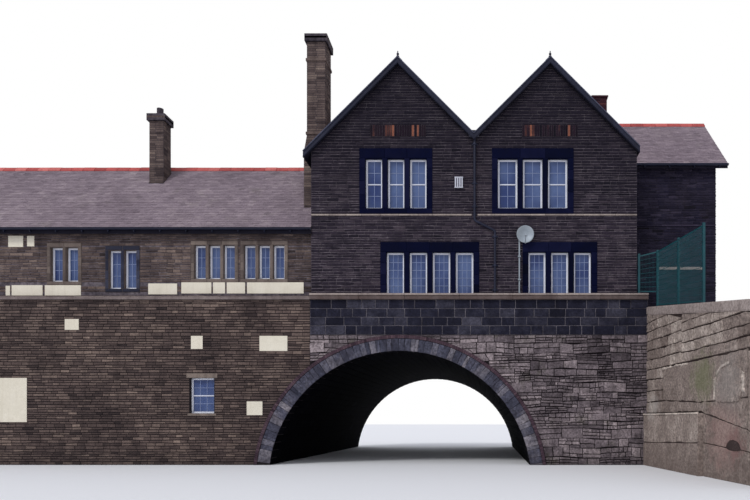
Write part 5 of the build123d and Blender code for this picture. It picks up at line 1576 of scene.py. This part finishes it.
# The fence's height at the portal, its fall over one bay and its place on the wall's top
FENCE_TALL = 1.96
FENCE_FALL = 0.095
FENCE_INSET = 0.33
POST_HALF = 0.04
RAIL = 0.045
WIRE = 0.012


def fence_top(y):
    return WALL_TOP_BACK + FENCE_TALL - FENCE_FALL * max(-y, 0) / FENCE_BAY


def woven(heap, wire, low, high, place, columns, rows):
    """Wires of one panel between two lines of foot and head. Place gives the plan point at a share of its length."""
    start, stop = place(0), place(1)
    length = math.dist(start, stop)
    flat = Matrix.Rotation(math.atan2(stop[1] - start[1], stop[0] - start[0]), 3, "Z")
    for step in range(columns + 1):
        share = step / columns
        z0, z1 = low(share), high(share)
        set_bar(heap, wire, (*place(share), (z0 + z1) / 2), (0.006, 0.008, z1 - z0), 0.5, flat)
    for row in range(rows + 1):
        z0, z1 = (low(end) + (high(end) - low(end)) * row / rows for end in (0, 1))
        tilt = Matrix.Rotation(-math.atan2(z1 - z0, length), 3, "Y")
        size = (math.hypot(length, z1 - z0), 0.01, RAIL if row in (0, rows) else WIRE)
        set_bar(heap, wire, (*place(0.5), (z0 + z1) / 2), size, 0.6, flat @ tilt)


def make_fence(sizes, rng):
    wire = model_bar(0.001)
    heap = Heap("fence_mesh", "Fence paint", "green_metal", "fence_panels")
    line = PORTAL_RIGHT + FENCE_INSET
    for index in range(2):
        y0, y1 = -index * FENCE_BAY - POST_HALF, -(index + 1) * FENCE_BAY + POST_HALF

        def at(share):
            return y0 + (y1 - y0) * share

        woven(heap, wire, lambda t: wall_top(at(t)) + 0.075, lambda t: fence_top(at(t)) - 0.07,
              lambda t: (line + splay(at(t)), at(t)), 38, 11)
    left, right = BLOCK_RIGHT + 0.075, line - POST_HALF
    woven(heap, wire, lambda t: LEDGE + 0.08, lambda t: fence_top(0) - 0.21 + 0.14 * t,
          lambda t: (left + (right - left) * t, 0), 12, 8)


# Stage

FLOOR_SIZE = 400
FARTHEST = 500
EYE = (3.0, -22.0, 1.55)
SUN_TURN = (math.radians(48), 0, math.radians(-38))
SUN_ANGLE = math.radians(14)


def make_stage(sizes, rng):
    scene = bpy.context.scene
    scene.view_settings.view_transform = "Standard"
    bpy.ops.object.select_all(action="DESELECT")
    bpy.ops.mesh.primitive_plane_add(size=FLOOR_SIZE, location=(0, 0, 0))
    floor = bpy.context.object
    floor.name = "floor"
    shader = new_material("Floor")[1]
    shader["Base Color"].default_value = rgb("ececee")
    shader["Roughness"].default_value = 0.9
    floor.data.materials.append(bpy.data.materials["Floor"])
    world = bpy.data.worlds.new("Studio")
    world.use_nodes = True
    nodes = Nodes(world.node_tree)
    light = nodes.add("ShaderNodeBackground", {"Color": rgb("eef1fa"), "Strength": sizes.sky})
    seen = nodes.add("ShaderNodeBackground", {"Color": rgb("ffffff"), "Strength": 1.0})
    path = nodes.add("ShaderNodeLightPath").outputs
    direct = nodes.maths("MAXIMUM", path["Is Camera Ray"], path["Is Transmission Ray"])
    blend = nodes.add("ShaderNodeMixShader", {0: direct, 1: light.outputs[0], 2: seen.outputs[0]})
    nodes.plug(world.node_tree.nodes["World Output"].inputs["Surface"], blend.outputs[0])
    scene.world = world
    bpy.ops.object.light_add(type="SUN", rotation=SUN_TURN)
    sun = bpy.context.object.data
    sun.energy = sizes.sun
    sun.angle = SUN_ANGLE
    bpy.ops.object.camera_add(location=Vector(EYE) + Vector(ORIGIN), rotation=(math.radians(90 + sizes.tilt), 0, 0))
    scene.camera = bpy.context.object
    camera = scene.camera.data
    camera.lens, camera.shift_x, camera.shift_y = sizes.lens, sizes.shift_x, sizes.shift_y
    camera.clip_end = FARTHEST
    bpy.context.view_layer.update()


# Operators

class Work:
    """What all the operators share: each draws on its own random stream, and its heaps become pieces at its end."""

    bl_options = {"REGISTER", "UNDO"}

    def carry_out(self, context, make, turn):
        sizes = context.scene.station_sizes
        make(sizes, np.random.default_rng(sizes.seed * 100 + turn))
        for heap in Heap.waiting:
            heap.make_piece()
        Heap.waiting.clear()
        return {"FINISHED"}


class STATION_OT_finishes(Work, bpy.types.Operator):
    """Makes the materials and gives the frame's pieces theirs"""
    bl_idname = "station.finishes"
    bl_label = "Finishes"

    def execute(self, context):
        return self.carry_out(context, make_finishes, 0)


class STATION_OT_block(Work, bpy.types.Operator):
    """Lays the thin coursed stone of the block's walls"""
    bl_idname = "station.block"
    bl_label = "Block walls"

    def execute(self, context):
        return self.carry_out(context, lay_block, 1)


class STATION_OT_right_wing(Work, bpy.types.Operator):
    """Lays the stone of the right wing"""
    bl_idname = "station.right_wing"
    bl_label = "Right wing walls"

    def execute(self, context):
        return self.carry_out(context, lay_right_wing, 2)


class STATION_OT_left_wing(Work, bpy.types.Operator):
    """Lays the stone of the left wing"""
    bl_idname = "station.left_wing"
    bl_label = "Left wing walls"

    def execute(self, context):
        return self.carry_out(context, lay_left_wing, 3)


class STATION_OT_portals(Work, bpy.types.Operator):
    """Lays the rubble and the squared courses of the bridge"""
    bl_idname = "station.portals"
    bl_label = "Portals"

    def execute(self, context):
        return self.carry_out(context, lay_portals, 4)


class STATION_OT_arch(Work, bpy.types.Operator):
    """Lays the arch rings, the vault stones and the brick hoods"""
    bl_idname = "station.arch"
    bl_label = "Arch"

    def execute(self, context):
        return self.carry_out(context, lay_arch, 5)


class STATION_OT_soldiers(Work, bpy.types.Operator):
    """Lays the upright bricks in the gables"""
    bl_idname = "station.soldiers"
    bl_label = "Brick panels"

    def execute(self, context):
        return self.carry_out(context, lay_soldiers, 6)


class STATION_OT_surrounds(Work, bpy.types.Operator):
    """Lays the dressed stone round the windows, and the timber round one of them"""
    bl_idname = "station.surrounds"
    bl_label = "Window surrounds"

    def execute(self, context):
        return self.carry_out(context, lay_surrounds, 7)


class STATION_OT_windows(Work, bpy.types.Operator):
    """Makes the sashes and the glazing bars"""
    bl_idname = "station.windows"
    bl_label = "Windows"

    def execute(self, context):
        return self.carry_out(context, make_windows, 8)


class STATION_OT_roofs(Work, bpy.types.Operator):
    """Lays the tiles of all the roofs"""
    bl_idname = "station.roofs"
    bl_label = "Roof tiles"

    def execute(self, context):
        return self.carry_out(context, tile_roofs, 9)


class STATION_OT_ridges(Work, bpy.types.Operator):
    """Sets the ridge tiles and the finials"""
    bl_idname = "station.ridges"
    bl_label = "Ridges"

    def execute(self, context):
        return self.carry_out(context, make_ridges, 10)


class STATION_OT_ledges(Work, bpy.types.Operator):
    """Sets the ledge, the strip and the parapet coping"""
    bl_idname = "station.ledges"
    bl_label = "Ledges"

    def execute(self, context):
        return self.carry_out(context, make_ledges, 11)


class STATION_OT_strings(Work, bpy.types.Operator):
    """Sets the string course and the sill of the right wing"""
    bl_idname = "station.strings"
    bl_label = "String course"

    def execute(self, context):
        return self.carry_out(context, make_strings, 17)


class STATION_OT_chimneys(Work, bpy.types.Operator):
    """Lays the courses and caps of the chimneys"""
    bl_idname = "station.chimneys"
    bl_label = "Chimneys"

    def execute(self, context):
        return self.carry_out(context, make_chimneys, 12)


class STATION_OT_trim(Work, bpy.types.Operator):
    """Makes the mouldings, collars, brackets and louvres"""
    bl_idname = "station.trim"
    bl_label = "Trim"

    def execute(self, context):
        return self.carry_out(context, make_trim, 13)


class STATION_OT_aerial(Work, bpy.types.Operator):
    """Makes the feed arm, its cup and the clamps of the aerial"""
    bl_idname = "station.aerial"
    bl_label = "Aerial"

    def execute(self, context):
        return self.carry_out(context, make_aerial, 14)


class STATION_OT_wing_wall(Work, bpy.types.Operator):
    """Lays the stones and coping of the wing wall"""
    bl_idname = "station.wing_wall"
    bl_label = "Wing wall"

    def execute(self, context):
        return self.carry_out(context, make_wing_wall, 15)


class STATION_OT_fence(Work, bpy.types.Operator):
    """Makes the mesh of the fence between its head and foot rails"""
    bl_idname = "station.fence"
    bl_label = "Fence"

    def execute(self, context):
        return self.carry_out(context, make_fence, 16)


class STATION_OT_stage(Work, bpy.types.Operator):
    """Adds the floor, the light and the camera"""
    bl_idname = "station.stage"
    bl_label = "Stage"

    def execute(self, context):
        return self.carry_out(context, make_stage, 0)


# In the order in which they are called
WORKS = (
    STATION_OT_finishes, STATION_OT_block, STATION_OT_right_wing, STATION_OT_left_wing, STATION_OT_portals,
    STATION_OT_arch, STATION_OT_soldiers, STATION_OT_surrounds, STATION_OT_windows, STATION_OT_roofs,
    STATION_OT_ridges, STATION_OT_ledges, STATION_OT_strings, STATION_OT_chimneys, STATION_OT_trim,
    STATION_OT_aerial, STATION_OT_wing_wall, STATION_OT_fence, STATION_OT_stage,
)


# What a user may change

def size(name, text, default, least):
    return bpy.props.FloatProperty(name=name, description=text, default=default, min=least, unit="LENGTH")


def amount(name, text, default):
    return bpy.props.FloatProperty(name=name, description=text, default=default)


def tint(name, text, code):
    return bpy.props.FloatVectorProperty(name=name, description=text, subtype="COLOR", size=3,
                                         default=rgb(code)[:3], min=0, max=1)


class StationSizes(bpy.types.PropertyGroup):
    course: size("Course", "Height of a course of walling stone", 0.095, 0.04)
    stone: size("Stone", "Usual length of a walling stone", 0.32, 0.1)
    gauge: size("Gauge", "Length of each roof tile that shows", 0.13, 0.05)
    tile: size("Tile", "Width of a roof tile", 0.22, 0.05)
    seed: bpy.props.IntProperty(name="Seed", description="Start of the random lengths and tones", default=7)
    sky: amount("Sky", "Strength of the light all round", 0.8)
    sun: amount("Sun", "Strength of the soft key light", 1.2)
    lens: amount("Lens", "Focal length of the camera", 30.62)
    tilt: amount("Tilt", "How far the camera looks up, in degrees", 0.0)
    shift_x: amount("Shift across", "Sideways shift of the picture", -0.1493)
    shift_y: amount("Shift up", "Upward shift of the picture", 0.2267)


class StationColours(bpy.types.PropertyGroup):
    block_stone: tint("Block stone", "Usual colour of the block's walling", "2e2732")
    rubble_stone: tint("Rubble", "Usual colour of the portal's rubble", "786d71")
    ring_stone: tint("Arch stone", "Usual colour of the arch ring", "50505e")
    surround: tint("Surrounds", "Colour of the stone round the windows", "050926")
    roof_tile: tint("Roof tile", "Usual colour of the roof tiles", "887a82")
    ridge_tile: tint("Ridge tile", "Usual colour of the red ridges", "be5c58")
    fence: tint("Fence", "Colour of the fence", "0c444c")


class STATION_PT_panel(bpy.types.Panel):
    """The sidebar panel that lists the sizes, the colours and the building's works"""
    bl_label = "Station"
    bl_idname = "STATION_PT_panel"
    bl_space_type = "VIEW_3D"
    bl_region_type = "UI"
    bl_category = "Station"

    def draw(self, context):
        for group in (context.scene.station_sizes, context.scene.station_colours):
            for key in group.__annotations__:
                self.layout.prop(group, key)
        for item in WORKS:
            self.layout.operator(item.bl_idname)


CLASSES = (StationSizes, StationColours, *WORKS, STATION_PT_panel)


def register():
    for made in CLASSES:
        bpy.utils.register_class(made)
    bpy.types.Scene.station_sizes = bpy.props.PointerProperty(type=StationSizes)
    bpy.types.Scene.station_colours = bpy.props.PointerProperty(type=StationColours)


def unregister():
    del bpy.types.Scene.station_colours
    del bpy.types.Scene.station_sizes
    for made in reversed(CLASSES):
        bpy.utils.unregister_class(made)


def main():
    register()
    for item in WORKS:
        getattr(bpy.ops.station, item.bl_idname.split(".")[1])()


if __name__ == "__main__":
    main()
